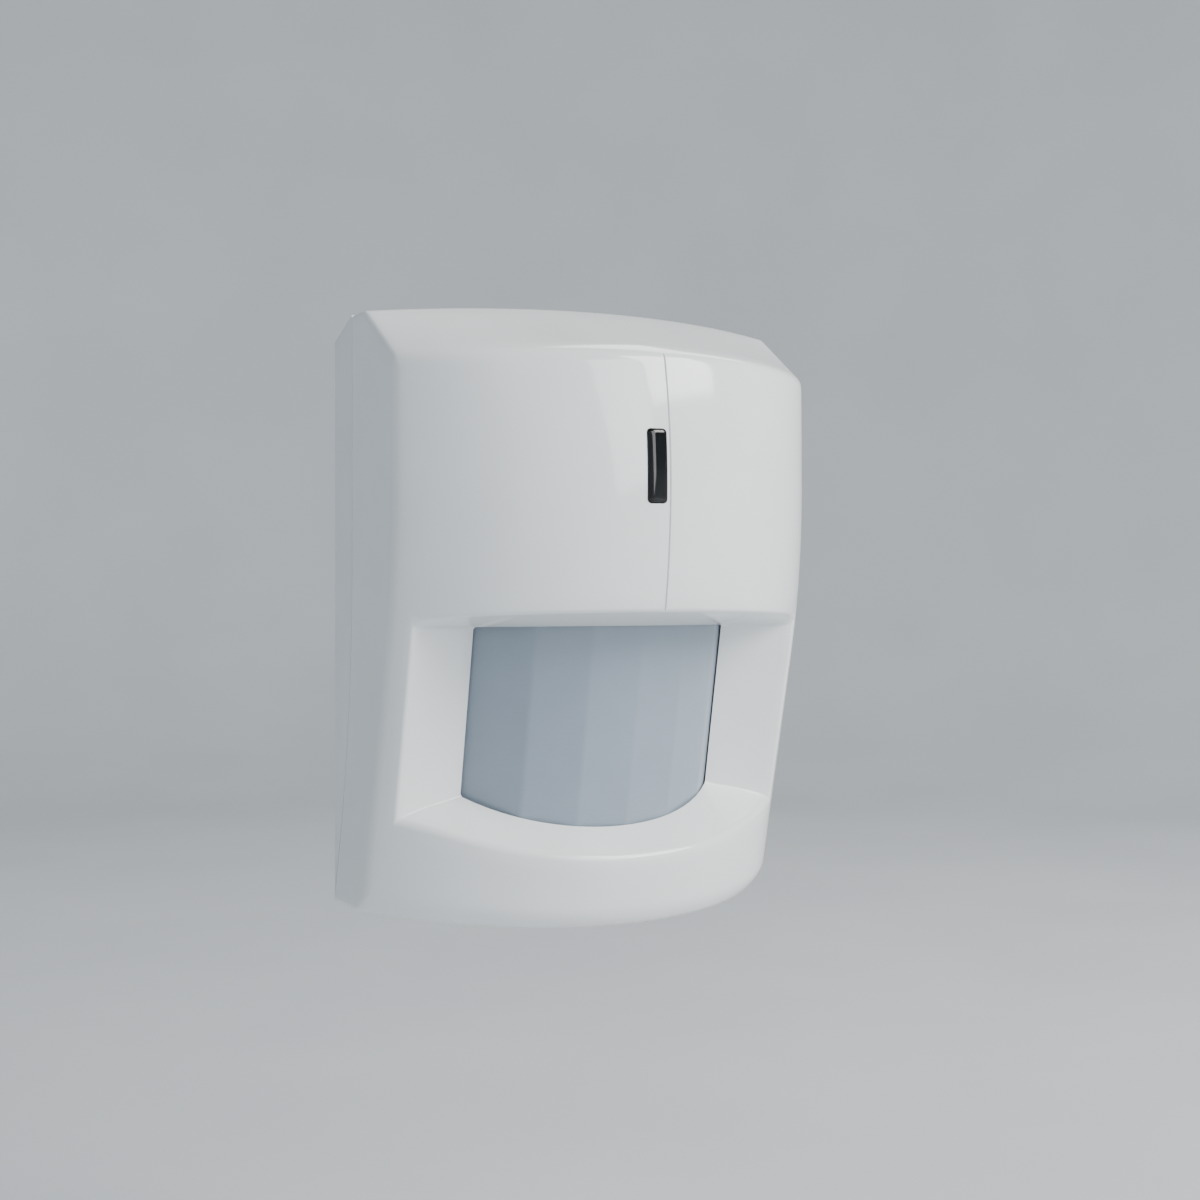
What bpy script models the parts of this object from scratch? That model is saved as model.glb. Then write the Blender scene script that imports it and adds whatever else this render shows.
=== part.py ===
"""A passive infrared motion sensor for a room corner or a flat wall.

The origin is the middle of the flat wall face. The wall is at +Y, the sensor
looks towards -Y, and +Z is up. Lengths below are in millimetres, and every
shape is turned to metres when its mesh is made.
"""

import math

import bmesh
import bpy
from mathutils import Matrix, Vector

MM = 0.001
GAP = 0.3                    # clearance between pieces that touch

# Housing outline
FRONT_HALF_WIDTH = 42.9      # half width at the front corner edges
EDGE = 43.0                  # the edge column, before the side's draft is added
EDGE_Y = -40.3               # front corner edges of the upper half
SIDE_DRAFT = 0.02            # the sides widen towards the wall
BEND_Z = 24.0                # below this height the front leans back
BEND_RADIUS = 130.0
LEAN = math.radians(14.5)
FRONT_BOW = 22.8             # how far the middle of the front stands out
TOP_Z, TOP_Y = 56.7, -24.9   # top edge, at the sides
BROW_Z = 46.0                # lower edge of the sloping top facet
CROWN = 1.3                  # rise of the top edges at the middle
CHIN_Z, CHIN_CROWN = -52.0, 2.7
FOOT_Z, FOOT_CROWN = -55.0, 2.3
FOOT_Y, FOOT_BOW = -20.5, 24.4
WALL = 2.0                   # front cover wall

# Parting line between the cover and the base
PART_Y = -18.8
PART_BEND_Z, PART_RADIUS = 10.0, 215.0
FOOT_PART_Y = -9.0

# Rear base
BASE_WALL = 2.2
BACK_HALF_WIDTH = 34.5
BACK_TOP, BACK_BOTTOM = 49.0, -51.0
BEVEL_Y = -9.0               # where the 45 degree corner faces begin
BEVEL_HALF_WIDTH = 43.5
BEVEL_TOP, BEVEL_BOTTOM = 52.7, -54.5

# Lens recess
RECESS_HALF_WIDTH = 40.0
VISOR_Z, VISOR_CROWN, VISOR_DROP = 0.0, 1.1, 1.8
CHORD_HALF_WIDTH = 26.0
CHORD_Y, LEDGE_Z = -30.4, -34.0
LENS_TILT = math.radians(11.3)
LEDGE_SLOPE = 0.5

# Fresnel lens, in its own tilted frame
LENS_RADIUS = 35.1
LENS_CENTRE = 23.7           # arc centre, behind the recess plane
LENS_SHEET = 0.8
LENS_REACH = 28.5            # half width, to where it is tucked in
LENS_LOW, LENS_HIGH = -6.5, 36.3

# Circuit board and what stands on it
BOARD_FRONT, BOARD_BACK = -13.4, -11.8
BOARD_HALF_WIDTH, BOARD_LOW, BOARD_HIGH = 33.5, -38.0, 49.5
SEAT = BOARD_FRONT - GAP     # underside of the parts on the board
POST_X, SCREW_POST_Z, PEG_POST_Z = 29.5, -33.0, 44.0
PYRO_Z = -12.0
BATTERY_RADIUS, BATTERY_LENGTH = 8.5, 34.5
BATTERY_Y, BATTERY_Z = -23.4, 38.5
LED_X, LED_Z = -2.2, 23.5
TAMPER_X, TAMPER_Z = -27.0, 18.0
PLUNGER_BASE, PLUNGER_TIP = -14.9, -23.0
ENROL_X, ENROL_BASE = 27.0, -16.5
DIP_X, DIP_Z = (14.73, 17.27), 12.0

# Joints
HINGE_Y, HINGE_Z = PART_Y, 58.1
SCREW_Y = -12.6

# Colours (linear RGB), metallic, roughness
FINISHES = {
    "white_abs": ((0.72, 0.76, 0.78), 0.0, 0.30),
    "base_abs": ((0.66, 0.72, 0.76), 0.0, 0.35),
    "lens_sheet": ((0.55, 0.62, 0.66), 0.0, 0.45),
    "black_acrylic": ((0.01, 0.01, 0.012), 0.0, 0.08),
    "clear_acrylic": ((0.80, 0.85, 0.86), 0.0, 0.05),
    "solder_mask": ((0.02, 0.16, 0.07), 0.0, 0.35),
    "black_plastic": ((0.02, 0.02, 0.02), 0.0, 0.45),
    "nickel": ((0.62, 0.60, 0.55), 1.0, 0.30),
    "zinc_steel": ((0.55, 0.56, 0.58), 1.0, 0.35),
    "battery_wrap": ((0.03, 0.10, 0.30), 0.0, 0.30),
    "dark_window": ((0.03, 0.03, 0.04), 0.0, 0.10),
    "red_switch": ((0.45, 0.03, 0.03), 0.0, 0.40),
}


def clear_scene():
    """Remove what the file already holds."""
    for item in list(bpy.data.objects):
        bpy.data.objects.remove(item, do_unlink=True)


def finish_material(name):
    """Return the Principled material of one finish."""
    material = bpy.data.materials.get(name)
    if material is None:
        colour, metallic, roughness = FINISHES[name]
        material = bpy.data.materials.new(name)
        material.use_nodes = True
        shader = material.node_tree.nodes["Principled BSDF"]
        shader.inputs["Base Color"].default_value = (*colour, 1.0)
        shader.inputs["Metallic"].default_value = metallic
        shader.inputs["Roughness"].default_value = roughness
    return material


# ---------------------------------------------------------------- solids

def add_rings(bm, rings, closed_ends=True):
    """Skin a list of point rings, and cap the first and the last."""
    loops = [[bm.verts.new(point) for point in ring] for ring in rings]
    count = len(loops[0])
    for low, high in zip(loops, loops[1:]):
        for i in range(count):
            j = (i + 1) % count
            bm.faces.new((low[i], low[j], high[j], high[i]))
    if closed_ends:
        bm.faces.new(list(reversed(loops[0])))
        bm.faces.new(loops[-1])


def block(bm, low, high):
    """Add a box between two corners."""
    (x0, y0, z0), (x1, y1, z1) = low, high
    ring = [(x0, y0), (x1, y0), (x1, y1), (x0, y1)]
    add_rings(bm, [[(x, y, z) for x, y in ring] for z in (z0, z1)])


def cross_frame(axis):
    """Return two unit vectors across an axis."""
    axis = Vector(axis).normalized()
    side = Vector((0, 0, 1)) if abs(axis.z) < 0.9 else Vector((1, 0, 0))
    first = axis.cross(side).normalized()
    return axis, first, axis.cross(first)


def turned(bm, profile, base, axis, segments=24):
    """Turn (radius, height) pairs about an axis through a base point."""
    axis, across, along = cross_frame(axis)
    base = Vector(base)
    rings = []
    for radius, height in profile:
        centre = base + axis * height
        angles = [2 * math.pi * i / segments for i in range(segments)]
        rings.append([centre + (across * math.cos(a) + along * math.sin(a)) * radius
                      for a in angles])
    add_rings(bm, rings)


def rod(bm, start, end, radius, segments=24):
    """Add a round bar from one point to another."""
    start, end = Vector(start), Vector(end)
    length = (end - start).length
    turned(bm, [(radius, 0.0), (radius, length)], start, end - start, segments)


def prism(bm, outline, low, high, frame=None):
    """Extrude an (x, y) outline from one height to another."""
    frame = frame or Matrix.Identity(4)
    add_rings(bm, [[frame @ Vector((x, y, z)) for x, y in outline] for z in (low, high)])


def solid(name, build, finish=None, parent=None, origin=(0, 0, 0), smooth=35.0):
    """Make an object from a function that fills a bmesh in millimetres."""
    bm = bmesh.new()
    build(bm)
    bmesh.ops.remove_doubles(bm, verts=bm.verts, dist=0.01)
    bmesh.ops.recalc_face_normals(bm, faces=bm.faces)
    shift = Matrix.Translation(-Vector(origin))
    bmesh.ops.transform(bm, matrix=Matrix.Scale(MM, 4) @ shift, verts=bm.verts)
    mesh = bpy.data.meshes.new(name)
    bm.to_mesh(mesh)
    bm.free()
    mesh.shade_smooth()
    mesh.set_sharp_from_angle(angle=math.radians(smooth))
    item = bpy.data.objects.new(name, mesh)
    bpy.context.scene.collection.objects.link(item)
    item.location = Vector(origin) * MM
    if parent:
        item.parent = parent
        item.location -= parent.location
    if finish:
        mesh.materials.append(finish_material(finish))
    return item


def tool(name, build):
    """Make a cutter or an added shape that is left out of the object."""
    item = solid(name, build)
    item.hide_render = True
    item.display_type = "WIRE"
    return item


def combine(item, name, operation, build):
    """Cut a shape from an object, or join it on."""
    modifier = item.modifiers.new(name, "BOOLEAN")
    modifier.operation = operation
    modifier.solver = "EXACT"
    modifier.object = tool(name, build)


def pivot(name, location, parent=None):
    """Add an empty on a joint's axis."""
    item = bpy.data.objects.new(name, None)
    bpy.context.scene.collection.objects.link(item)
    item.empty_display_size = 0.01
    item.location = Vector(location) * MM
    item.parent = parent
    return item


# ------------------------------------------------------- housing surfaces

def bulge(x, half_width, bow):
    """Depth of a circular arc of a given bow, at a place across it."""
    radius = (half_width ** 2 + bow ** 2) / (2.0 * bow)
    return math.sqrt(radius ** 2 - x ** 2) - math.sqrt(radius ** 2 - half_width ** 2)


def crown(x, rise):
    """Rise of a slightly bowed level edge."""
    return rise * (1.0 - (x / EDGE) ** 2)


def edge_y(z):
    """The front corner edge in side view: upright, then bent back."""
    drop = max(0.0, BEND_Z - z)
    arc_drop = BEND_RADIUS * math.sin(LEAN)
    if drop < arc_drop:
        return EDGE_Y + BEND_RADIUS - math.sqrt(BEND_RADIUS ** 2 - drop ** 2)
    return EDGE_Y + BEND_RADIUS * (1.0 - math.cos(LEAN)) + (drop - arc_drop) * math.tan(LEAN)


def front_y(x, z):
    """The bowed front face."""
    half = side_x(edge_y(z))
    bow = FRONT_BOW - max(0.0, z - BEND_Z) ** 2 / 220.0
    return edge_y(z) - bulge(min(abs(x), half), half, bow)


def side_x(y):
    """Half width of the housing at a depth."""
    return FRONT_HALF_WIDTH + SIDE_DRAFT * (y - EDGE_Y)


def part_y(z):
    """The parting line in side view: straight, then curving to the wall."""
    if z <= FOOT_Z:
        return FOOT_PART_Y
    drop = max(0.0, PART_BEND_Z - z)
    return PART_Y + PART_RADIUS - math.sqrt(PART_RADIUS ** 2 - drop ** 2)


def chord_y(z):
    """The flat, leaning floor of the lens recess."""
    return CHORD_Y - (z - LEDGE_Z) * math.tan(LENS_TILT)


def recess_y(x, z):
    """The recess floor, with cheeks that rise to the front face."""
    share = (abs(x) - CHORD_HALF_WIDTH) / (RECESS_HALF_WIDTH - CHORD_HALF_WIDTH)
    share = min(max(share, 0.0), 1.0)
    return chord_y(z) + share * (front_y(RECESS_HALF_WIDTH, z) - chord_y(z))


def ledge_point(x, depth):
    """Where the sloping ledge meets a surface given by depth(x, z)."""
    z = LEDGE_Z
    for _ in range(12):
        z = LEDGE_Z + LEDGE_SLOPE * (depth(x, z) - CHORD_Y)
    return depth(x, z), z


def between(first, last, steps):
    """Evenly spaced values, ends included."""
    return [first + (last - first) * i / steps for i in range(steps + 1)]


# The cover's skin is a grid: columns run across, rows run from the back of
# the top, down the front and round to the back of the bottom.
HALF_COLUMNS = (0.0, 4.0, 8.5, 13.0, 17.5, 22.0, 26.0, 30.7, 35.3, 40.0, 41.4)
SIDE_STEPS = 3


def column_places():
    """The columns' places across, from left to right."""
    half = list(HALF_COLUMNS) + [EDGE]
    return [-x for x in reversed(half[1:])] + half


def skin_row(z_of, y_of):
    """A row given by its height and its depth, as wide as the side walls."""
    row = []
    for x in column_places():
        z = z_of(x)
        y = y_of(x, z)
        if abs(x) == EDGE:
            x = math.copysign(side_x(y), x)
        row.append((x, y, z))
    return row


def cap_rows(z_of, front_of, back_y):
    """Rows of the flat top or bottom, from the part line to the front."""
    rows = []
    for share in between(0.0, 1.0, SIDE_STEPS)[:-1]:
        def depth(x, _z, share=share):
            return back_y + share * (front_of(x) - back_y)
        rows.append(skin_row(z_of, depth))
    return rows


def front_rows(upper, lower, steps):
    """Rows of the front face between two heights, both left out."""
    rows = []
    for share in between(0.0, 1.0, steps)[1:-1]:
        def height(x, share=share):
            return upper(x) + share * (lower(x) - upper(x))
        rows.append(skin_row(height, front_y))
    return rows


def visor_z(x):
    """The visor's front lip."""
    inner = min(abs(x), RECESS_HALF_WIDTH)
    return VISOR_Z + VISOR_CROWN * (1.0 - (inner / RECESS_HALF_WIDTH) ** 2)


def ledge_front_z(x):
    """The ledge's front edge, carried level past the recess."""
    return ledge_point(min(abs(x), RECESS_HALF_WIDTH), front_y)[1]


def recess_row(share):
    """A row of the recess between the visor (0) and the ledge (1)."""
    corner_z = ledge_front_z(RECESS_HALF_WIDTH)
    top = VISOR_Z - VISOR_DROP

    def height(x):
        across = (min(abs(x), RECESS_HALF_WIDTH) - CHORD_HALF_WIDTH)
        across = max(0.0, across / (RECESS_HALF_WIDTH - CHORD_HALF_WIDTH))
        return top + share * (LEDGE_Z + across * (corner_z - LEDGE_Z) - top)

    def depth(x, z):
        return recess_y(x, z) if abs(x) < RECESS_HALF_WIDTH else front_y(x, z)
    return skin_row(height, depth)


def cover_rows():
    """All the rows of the cover's outer skin."""
    def top_z(x):
        return TOP_Z + crown(x, CROWN)

    def brow_z(x):
        return BROW_Z + crown(x, CROWN)

    def chin_z(x):
        return CHIN_Z - crown(x, CHIN_CROWN)

    def foot_z(x):
        return FOOT_Z - crown(x, FOOT_CROWN)

    def top_y(x, _z=0.0):
        return TOP_Y - bulge(x, EDGE, 9.5)

    def foot_y(x, _z=0.0):
        return FOOT_Y - bulge(x, EDGE, FOOT_BOW)

    rows = cap_rows(top_z, top_y, PART_Y)
    rows.append(skin_row(top_z, top_y))
    rows.append(skin_row(brow_z, front_y))
    rows += front_rows(brow_z, visor_z, 7)
    rows.append(skin_row(visor_z, front_y))
    rows += [recess_row(share) for share in between(0.0, 1.0, 5)]
    rows.append(skin_row(ledge_front_z, front_y))
    rows += front_rows(ledge_front_z, chin_z, 4)
    rows.append(skin_row(chin_z, front_y))
    rows.append(skin_row(foot_z, foot_y))
    rows += list(reversed(cap_rows(foot_z, foot_y, FOOT_PART_Y)))
    return rows


def cover_skin(bm):
    """The open outer skin of the front cover, seen from the front."""
    rows = cover_rows()
    grid = [[bm.verts.new(point) for point in row] for row in rows]
    for upper, lower in zip(grid, grid[1:]):
        for i in range(len(upper) - 1):
            bm.faces.new((upper[i], lower[i], lower[i + 1], upper[i + 1]))
    for sign, column in ((-1, 0), (1, -1)):
        edge = [row[column] for row in rows][SIDE_STEPS:len(rows) - SIDE_STEPS]
        side = []
        for _x, y, z in edge:
            back = part_y(z)
            side.append([bm.verts.new((sign * side_x(y + share * (back - y)),
                                       y + share * (back - y), z))
                         for share in between(0.0, 1.0, SIDE_STEPS)])
        for upper, lower in zip(side, side[1:]):
            for i in range(SIDE_STEPS):
                bm.faces.new((upper[i], upper[i + 1], lower[i + 1], lower[i]))


def round_edges(item, width, angle):
    """Break every edge that is sharper than an angle."""
    bevel = item.modifiers.new("rounded_edges", "BEVEL")
    bevel.width = width * MM
    bevel.segments = 1
    bevel.limit_method = "ANGLE"
    bevel.angle_limit = math.radians(angle)


def thicken(item, wall):
    """Give a skin its wall, inwards."""
    thick = item.modifiers.new("wall", "SOLIDIFY")
    thick.thickness = wall * MM
    thick.offset = -1.0
    thick.use_even_offset = True


# ------------------------------------------------------------ front cover

def profile_bar(bm, outline, left, right):
    """Extrude a (y, z) outline from one side to the other."""
    add_rings(bm, [[(x, y, z) for y, z in outline] for x in (left, right)])


def hinge_tongues(bm):
    """Two hooks that hang the cover in the mouth of the base."""
    outline = [(-21.5, 50.9), (-15.0, 50.9), (-15.0, 52.6), (-19.4, 52.6),
               (-19.4, 56.8), (-21.5, 56.8)]
    for middle in (-22.0, 22.0):
        profile_bar(bm, outline, middle - 4.0, middle + 4.0)


def cross_outline(arm, web):
    """The outline of a plus sign round the origin."""
    points = []
    for turn in range(4):
        c, s = math.cos(turn * math.pi / 2), math.sin(turn * math.pi / 2)
        for a, b in ((arm, web), (web, web), (web, arm)):
            points.append((a * c - b * s, a * s + b * c))
    return points


def tamper_post(bm):
    """A cross-shaped post that holds the tamper switch down."""
    places = [(TAMPER_X + x, TAMPER_Z + z) for x, z in cross_outline(3.0, 0.7)]
    root = [(x, front_y(x, z) + WALL * 0.6, z) for x, z in places]
    tip = [(x, PLUNGER_TIP - GAP, z) for x, z in places]
    add_rings(bm, [root, tip])


def light_guide_ribs(bm):
    """Two ribs that hold the indicator window and its light guide."""
    for left in (-5.4, 0.1):
        block(bm, (left, -61.6, 20.6), (left + 1.0, -50.0, 33.4))


def screw_block(bm):
    """A thicker place in the cover's bottom for the closing screw."""
    block(bm, (-5.5, -17.0, -55.9), (5.5, -9.3, -53.2))


def open_slot(bm, half, low, high):
    """A slot round the closing screw that is open towards the base."""
    arc = [math.pi * (1.0 + i / 8.0) for i in range(9)]
    outline = [(half * math.cos(a), SCREW_Y + half * math.sin(a)) for a in arc]
    outline += [(half, -7.0), (-half, -7.0)]
    prism(bm, outline, low, high)


def screw_head_slot(bm):
    open_slot(bm, 3.3, -60.0, -55.4)


def screw_shank_slot(bm):
    open_slot(bm, 1.9, -60.0, -52.0)


def lens_frame_matrix():
    """The lens's own frame: x across, y into the housing, z up the lens."""
    return Matrix.Translation((0, CHORD_Y, LEDGE_Z)) @ Matrix.Rotation(LENS_TILT, 4, "X")


def arc_points(radius, reach, steps=20):
    """Points along a lens arc from one side to the other."""
    return [(x, LENS_CENTRE - math.sqrt(radius ** 2 - x ** 2))
            for x in between(-reach, reach, steps)]


def lens_opening(bm):
    """The space that the lens passes through, closed behind the recess."""
    prism(bm, arc_points(LENS_RADIUS + GAP, 29.48), -9.0, 38.0, lens_frame_matrix())


def indicator_slot(bm):
    block(bm, (-4.4, -66.0, 20.1), (0.0, -58.0, 33.8))


def seam_groove(bm):
    """A fine line down the middle of the front, 0.4 mm deep."""
    heights = between(46.2, 1.6, 10)
    front = [(front_y(0, z) - 1.0, z) for z in heights]
    floor = [(front_y(0, z) + 0.4, z) for z in reversed(heights)]
    profile_bar(bm, front + floor, 0.25, 0.55)


def make_cover(hinge):
    cover = solid("front_cover", cover_skin, "white_abs", hinge, (0, HINGE_Y, HINGE_Z))
    round_edges(cover, 0.9, 24.0)
    thicken(cover, WALL)
    for name, build in (("hooks", hinge_tongues), ("post", tamper_post),
                        ("ribs", light_guide_ribs), ("screw_pad", screw_block)):
        combine(cover, name, "UNION", build)
    for name, build in (("lens", lens_opening), ("indicator", indicator_slot),
                        ("seam", seam_groove), ("screw_head", screw_head_slot),
                        ("screw_shank", screw_shank_slot)):
        combine(cover, name, "DIFFERENCE", build)


def lens_sheet(bm):
    outer = arc_points(LENS_RADIUS, LENS_REACH)
    inner = arc_points(LENS_RADIUS - LENS_SHEET, LENS_REACH)
    prism(bm, outer + inner[::-1], LENS_LOW, LENS_HIGH, lens_frame_matrix())


def lens_backing(bm):
    """The clip frame that presses the lens sheet against the cover."""
    outer = arc_points(34.0, 28.0)
    inner = arc_points(32.6, 28.0)
    prism(bm, outer + inner[::-1], -5.0, 35.0, lens_frame_matrix())


def lens_backing_ears(bm):
    """Four feet that reach behind the recess's cheeks."""
    for left in (27.2, -34.0):
        for low in (0.0, 24.0):
            outline = [(left, 5.0), (left + 6.8, 5.0), (left + 6.8, 6.4), (left, 6.4)]
            prism(bm, outline, low, low + 6.0, lens_frame_matrix())


def lens_backing_window(bm):
    outline = [(-23.0, -20.0), (23.0, -20.0), (23.0, 20.0), (-23.0, 20.0)]
    prism(bm, outline, 2.0, 28.0, lens_frame_matrix())


def indicator_window(bm):
    """The black window of the indicator, standing slightly proud."""
    rings = []
    middle, half = -2.2, 1.9
    for z in (20.4, 20.8, 22.0, 24.5, 27.0, 29.5, 31.9, 33.1, 33.5):
        end = min(1.0, (min(z - 20.4, 33.5 - z)) / 0.4)
        ring = [(middle - half, -60.2, z), (middle + half, -60.2, z)]
        for share in (1.0, 0.8, 0.4, 0.0, -0.4, -0.8, -1.0):
            proud = 0.1 + 0.45 * (1.0 - share ** 2) * end
            ring.append((middle + share * half, front_y(middle, z) - proud, z))
        rings.append(ring)
    add_rings(bm, rings)


def light_guide(bm):
    block(bm, (-4.0, -59.8, 20.8), (-0.4, -16.6, 26.2))


def make_cover_group(hinge):
    """Everything that swings with the front cover."""
    make_cover(hinge)
    place = (0, HINGE_Y, HINGE_Z)
    solid("fresnel_lens", lens_sheet, "lens_sheet", hinge, place)
    frame = solid("lens_frame", lens_backing, "black_plastic", hinge, place)
    combine(frame, "ears", "UNION", lens_backing_ears)
    combine(frame, "window", "DIFFERENCE", lens_backing_window)
    solid("led_window", indicator_window, "black_acrylic", hinge, place)
    solid("light_guide", light_guide, "clear_acrylic", hinge, place)


# -------------------------------------------------------------- rear base

BASE_ACROSS = between(-1.0, 1.0, 12)
BASE_DOWN = between(0.0, 1.0, 14)


def base_loop(top, right, bottom):
    """A closed loop of points from functions of the share along a side."""
    points = [top(t) for t in BASE_ACROSS]
    points += [right(s) for s in BASE_DOWN[1:]]
    points += [bottom(t) for t in reversed(BASE_ACROSS[:-1])]
    left = [(-x, y, z) for x, y, z in (right(s) for s in reversed(BASE_DOWN[1:-1]))]
    return points + left


def rim_loop():
    """The base's edge, one gap behind the cover's edge."""
    def top(t):
        x = t * side_x(PART_Y)
        return x, PART_Y + GAP, TOP_Z + crown(x, CROWN)

    def right(s):
        z = TOP_Z + s * (FOOT_Z - TOP_Z)
        y = part_y(z) + GAP
        return side_x(y), y, z

    def bottom(t):
        x = t * side_x(FOOT_PART_Y + GAP)
        return x, FOOT_PART_Y + GAP, FOOT_Z - crown(x, FOOT_CROWN)
    return base_loop(top, right, bottom)


def bevel_loop():
    """Where the straight sides meet the faces that fit a room corner."""
    foot_y = FOOT_PART_Y + 1.2

    def top(t):
        x = t * BEVEL_HALF_WIDTH
        return x, BEVEL_Y, BEVEL_TOP + crown(x, 0.9)

    def right(s):
        z = BEVEL_TOP + s * (BEVEL_BOTTOM - BEVEL_TOP)
        y = max(BEVEL_Y, foot_y if s == 1.0 else part_y(z) + 1.2)
        return BACK_HALF_WIDTH - y, y, z

    def bottom(t):
        x = t * (BACK_HALF_WIDTH - foot_y)
        return x, foot_y, BEVEL_BOTTOM - crown(x, 1.9)
    return base_loop(top, right, bottom)


def back_loop():
    """The outline of the flat wall face."""
    def level(z):
        return lambda t: (t * BACK_HALF_WIDTH, 0.0, z)

    def right(s):
        return BACK_HALF_WIDTH, 0.0, BACK_TOP + s * (BACK_BOTTOM - BACK_TOP)
    return base_loop(level(BACK_TOP), right, level(BACK_BOTTOM))


def inner_loop(loop, forward):
    """A loop drawn in by the wall thickness and moved towards the front."""
    half_height = (TOP_Z - FOOT_Z) / 2
    middle = (TOP_Z + FOOT_Z) / 2
    across = 1.0 - BASE_WALL / BEVEL_HALF_WIDTH
    down = 1.0 - BASE_WALL / half_height
    return [(x * across, y - forward, middle + (z - middle) * down) for x, y, z in loop]


def base_tub(bm):
    """The base as a tub: round its outside, over the rim and down inside."""
    rim, bevel, back = rim_loop(), bevel_loop(), back_loop()
    corner = BASE_WALL * (math.sqrt(2.0) - 1.0)
    floor = [(x * 33.6 / BACK_HALF_WIDTH, -BASE_WALL, z * 0.97) for x, _y, z in back]
    add_rings(bm, [back, bevel, rim, inner_loop(rim, 0.0), inner_loop(bevel, corner), floor])


def locating_lips(bm):
    """Lips along both sides that enter the cover."""
    for sign in (-1, 1):
        rings = []
        for z in between(-42.0, 40.0, 10):
            rim = part_y(z) + GAP
            outline = [(39.8, rim - 2.2), (41.0, rim - 2.2), (41.0, rim + 1.0),
                       (42.2, rim + 1.0), (42.2, rim + 2.5), (39.8, rim + 2.5)]
            rings.append([(sign * x, y, z) for x, y in outline])
        add_rings(bm, rings)


def board_posts(bm):
    """Two posts with screw holes below and two with pegs above."""
    for x in (-POST_X, POST_X):
        rod(bm, (x, -1.0, SCREW_POST_Z), (x, BOARD_BACK + GAP, SCREW_POST_Z), 3.0, 16)
        turned(bm, [(3.0, 0.0), (3.0, 10.5), (1.4, 10.5), (1.4, 13.5)],
               (x, -1.0, PEG_POST_Z), (0, -1, 0), 16)


def post_holes(bm):
    for x in (-POST_X, POST_X):
        rod(bm, (x, -4.0, SCREW_POST_Z), (x, -15.0, SCREW_POST_Z), 1.7, 16)


def screw_boss(bm):
    """The boss that the closing screw bites into."""
    block(bm, (-4.5, -16.0, -52.5), (4.5, -1.2, -43.0))


def boss_hole(bm):
    rod(bm, (0, SCREW_Y, -56.0), (0, SCREW_Y, -45.0), 1.8, 16)


def wall_holes(bm):
    """Two slots for wall screws and the cable entry between them."""
    for half_x, half_z, z in ((2.5, 4.5, 34.0), (8.0, 4.5, 14.0), (2.5, 4.5, -30.0)):
        block(bm, (-half_x, -3.0, z - half_z), (half_x, 1.0, z + half_z))


def knock_outs(bm):
    """Thin round places in the corner faces, opened for corner mounting."""
    for sign in (-1, 1):
        for z in (-30.0, 30.0):
            middle = Vector((sign * 39.0, -4.5, z))
            out = Vector((sign, 1, 0)).normalized()
            rod(bm, middle - out * 1.2, middle + out * 2.0, 2.5, 16)


def make_base():
    base = solid("rear_base", base_tub, "base_abs")
    round_edges(base, 0.4, 32.0)
    for name, build in (("lips", locating_lips), ("posts", board_posts),
                        ("boss", screw_boss)):
        combine(base, name, "UNION", build)
    for name, build in (("post_holes", post_holes), ("boss_hole", boss_hole),
                        ("wall_holes", wall_holes), ("knock_outs", knock_outs)):
        combine(base, name, "DIFFERENCE", build)


# ---------------------------------------------------------- circuit board

def on_board(name, centre, size, finish):
    """A rectangular part on the front of the board: (x, z) and its size."""
    def build(bm):
        (x, z), (width, height, depth) = centre, size
        block(bm, (x - width / 2, SEAT - depth, z - height / 2),
              (x + width / 2, SEAT, z + height / 2))
    return solid(name, build, finish)


def board(bm):
    """The board, with its upper corners cut away."""
    w, low, high, cut = BOARD_HALF_WIDTH, BOARD_LOW, BOARD_HIGH, 4.0
    outline = [(-w, low), (w, low), (w, high - cut), (w - cut, high),
               (-w + cut, high), (-w, high - cut)]
    add_rings(bm, [[(x, y, z) for x, z in outline] for y in (BOARD_FRONT, BOARD_BACK)])


def board_holes(bm):
    for x in (-POST_X, POST_X):
        for z in (SCREW_POST_Z, PEG_POST_Z):
            rod(bm, (x, -20.0, z), (x, -5.0, z), 1.8, 16)


def board_screw(bm):
    """A pan-head screw at the origin, its head towards -Y."""
    turned(bm, [(1.4, 0.0), (1.4, 8.4), (2.8, 8.4), (2.8, 9.4), (2.1, 10.2)],
           (0, BOARD_BACK + 6.5, 0), (0, -1, 0), 20)


def screw_cross(bm):
    """The cross recess of a board screw."""
    outline = cross_outline(1.5, 0.35)
    add_rings(bm, [[(x, y, z) for x, z in outline] for y in (-20.0, -14.6)])


def make_board():
    item = solid("circuit_board", board, "solder_mask")
    combine(item, "holes", "DIFFERENCE", board_holes)
    for side, x in (("left", -POST_X), ("right", POST_X)):
        screw = solid("board_screw_" + side, board_screw, "zinc_steel")
        screw.location = Vector((x, 0, SCREW_POST_Z)) * MM
        modifier = screw.modifiers.new("cross", "BOOLEAN")
        modifier.operation = "DIFFERENCE"
        modifier.solver = "EXACT"
        modifier.object = tool("cross_" + side, screw_cross)
        modifier.object.location = screw.location


# The heat sensor looks out through the lens.

def pyro_can(bm):
    """A flanged metal can with a stepped opening for its window."""
    turned(bm, [(4.55, 0.0), (4.55, 0.7), (4.1, 0.7), (4.1, 4.2)],
           (0, SEAT, PYRO_Z), (0, -1, 0), 32)


def pyro_opening(bm):
    block(bm, (-2.1, -20.0, PYRO_Z - 1.8), (2.1, -17.2, PYRO_Z + 1.8))


def pyro_window(bm):
    block(bm, (-1.8, -17.75, PYRO_Z - 1.5), (1.8, -17.4, PYRO_Z + 1.5))


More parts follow.
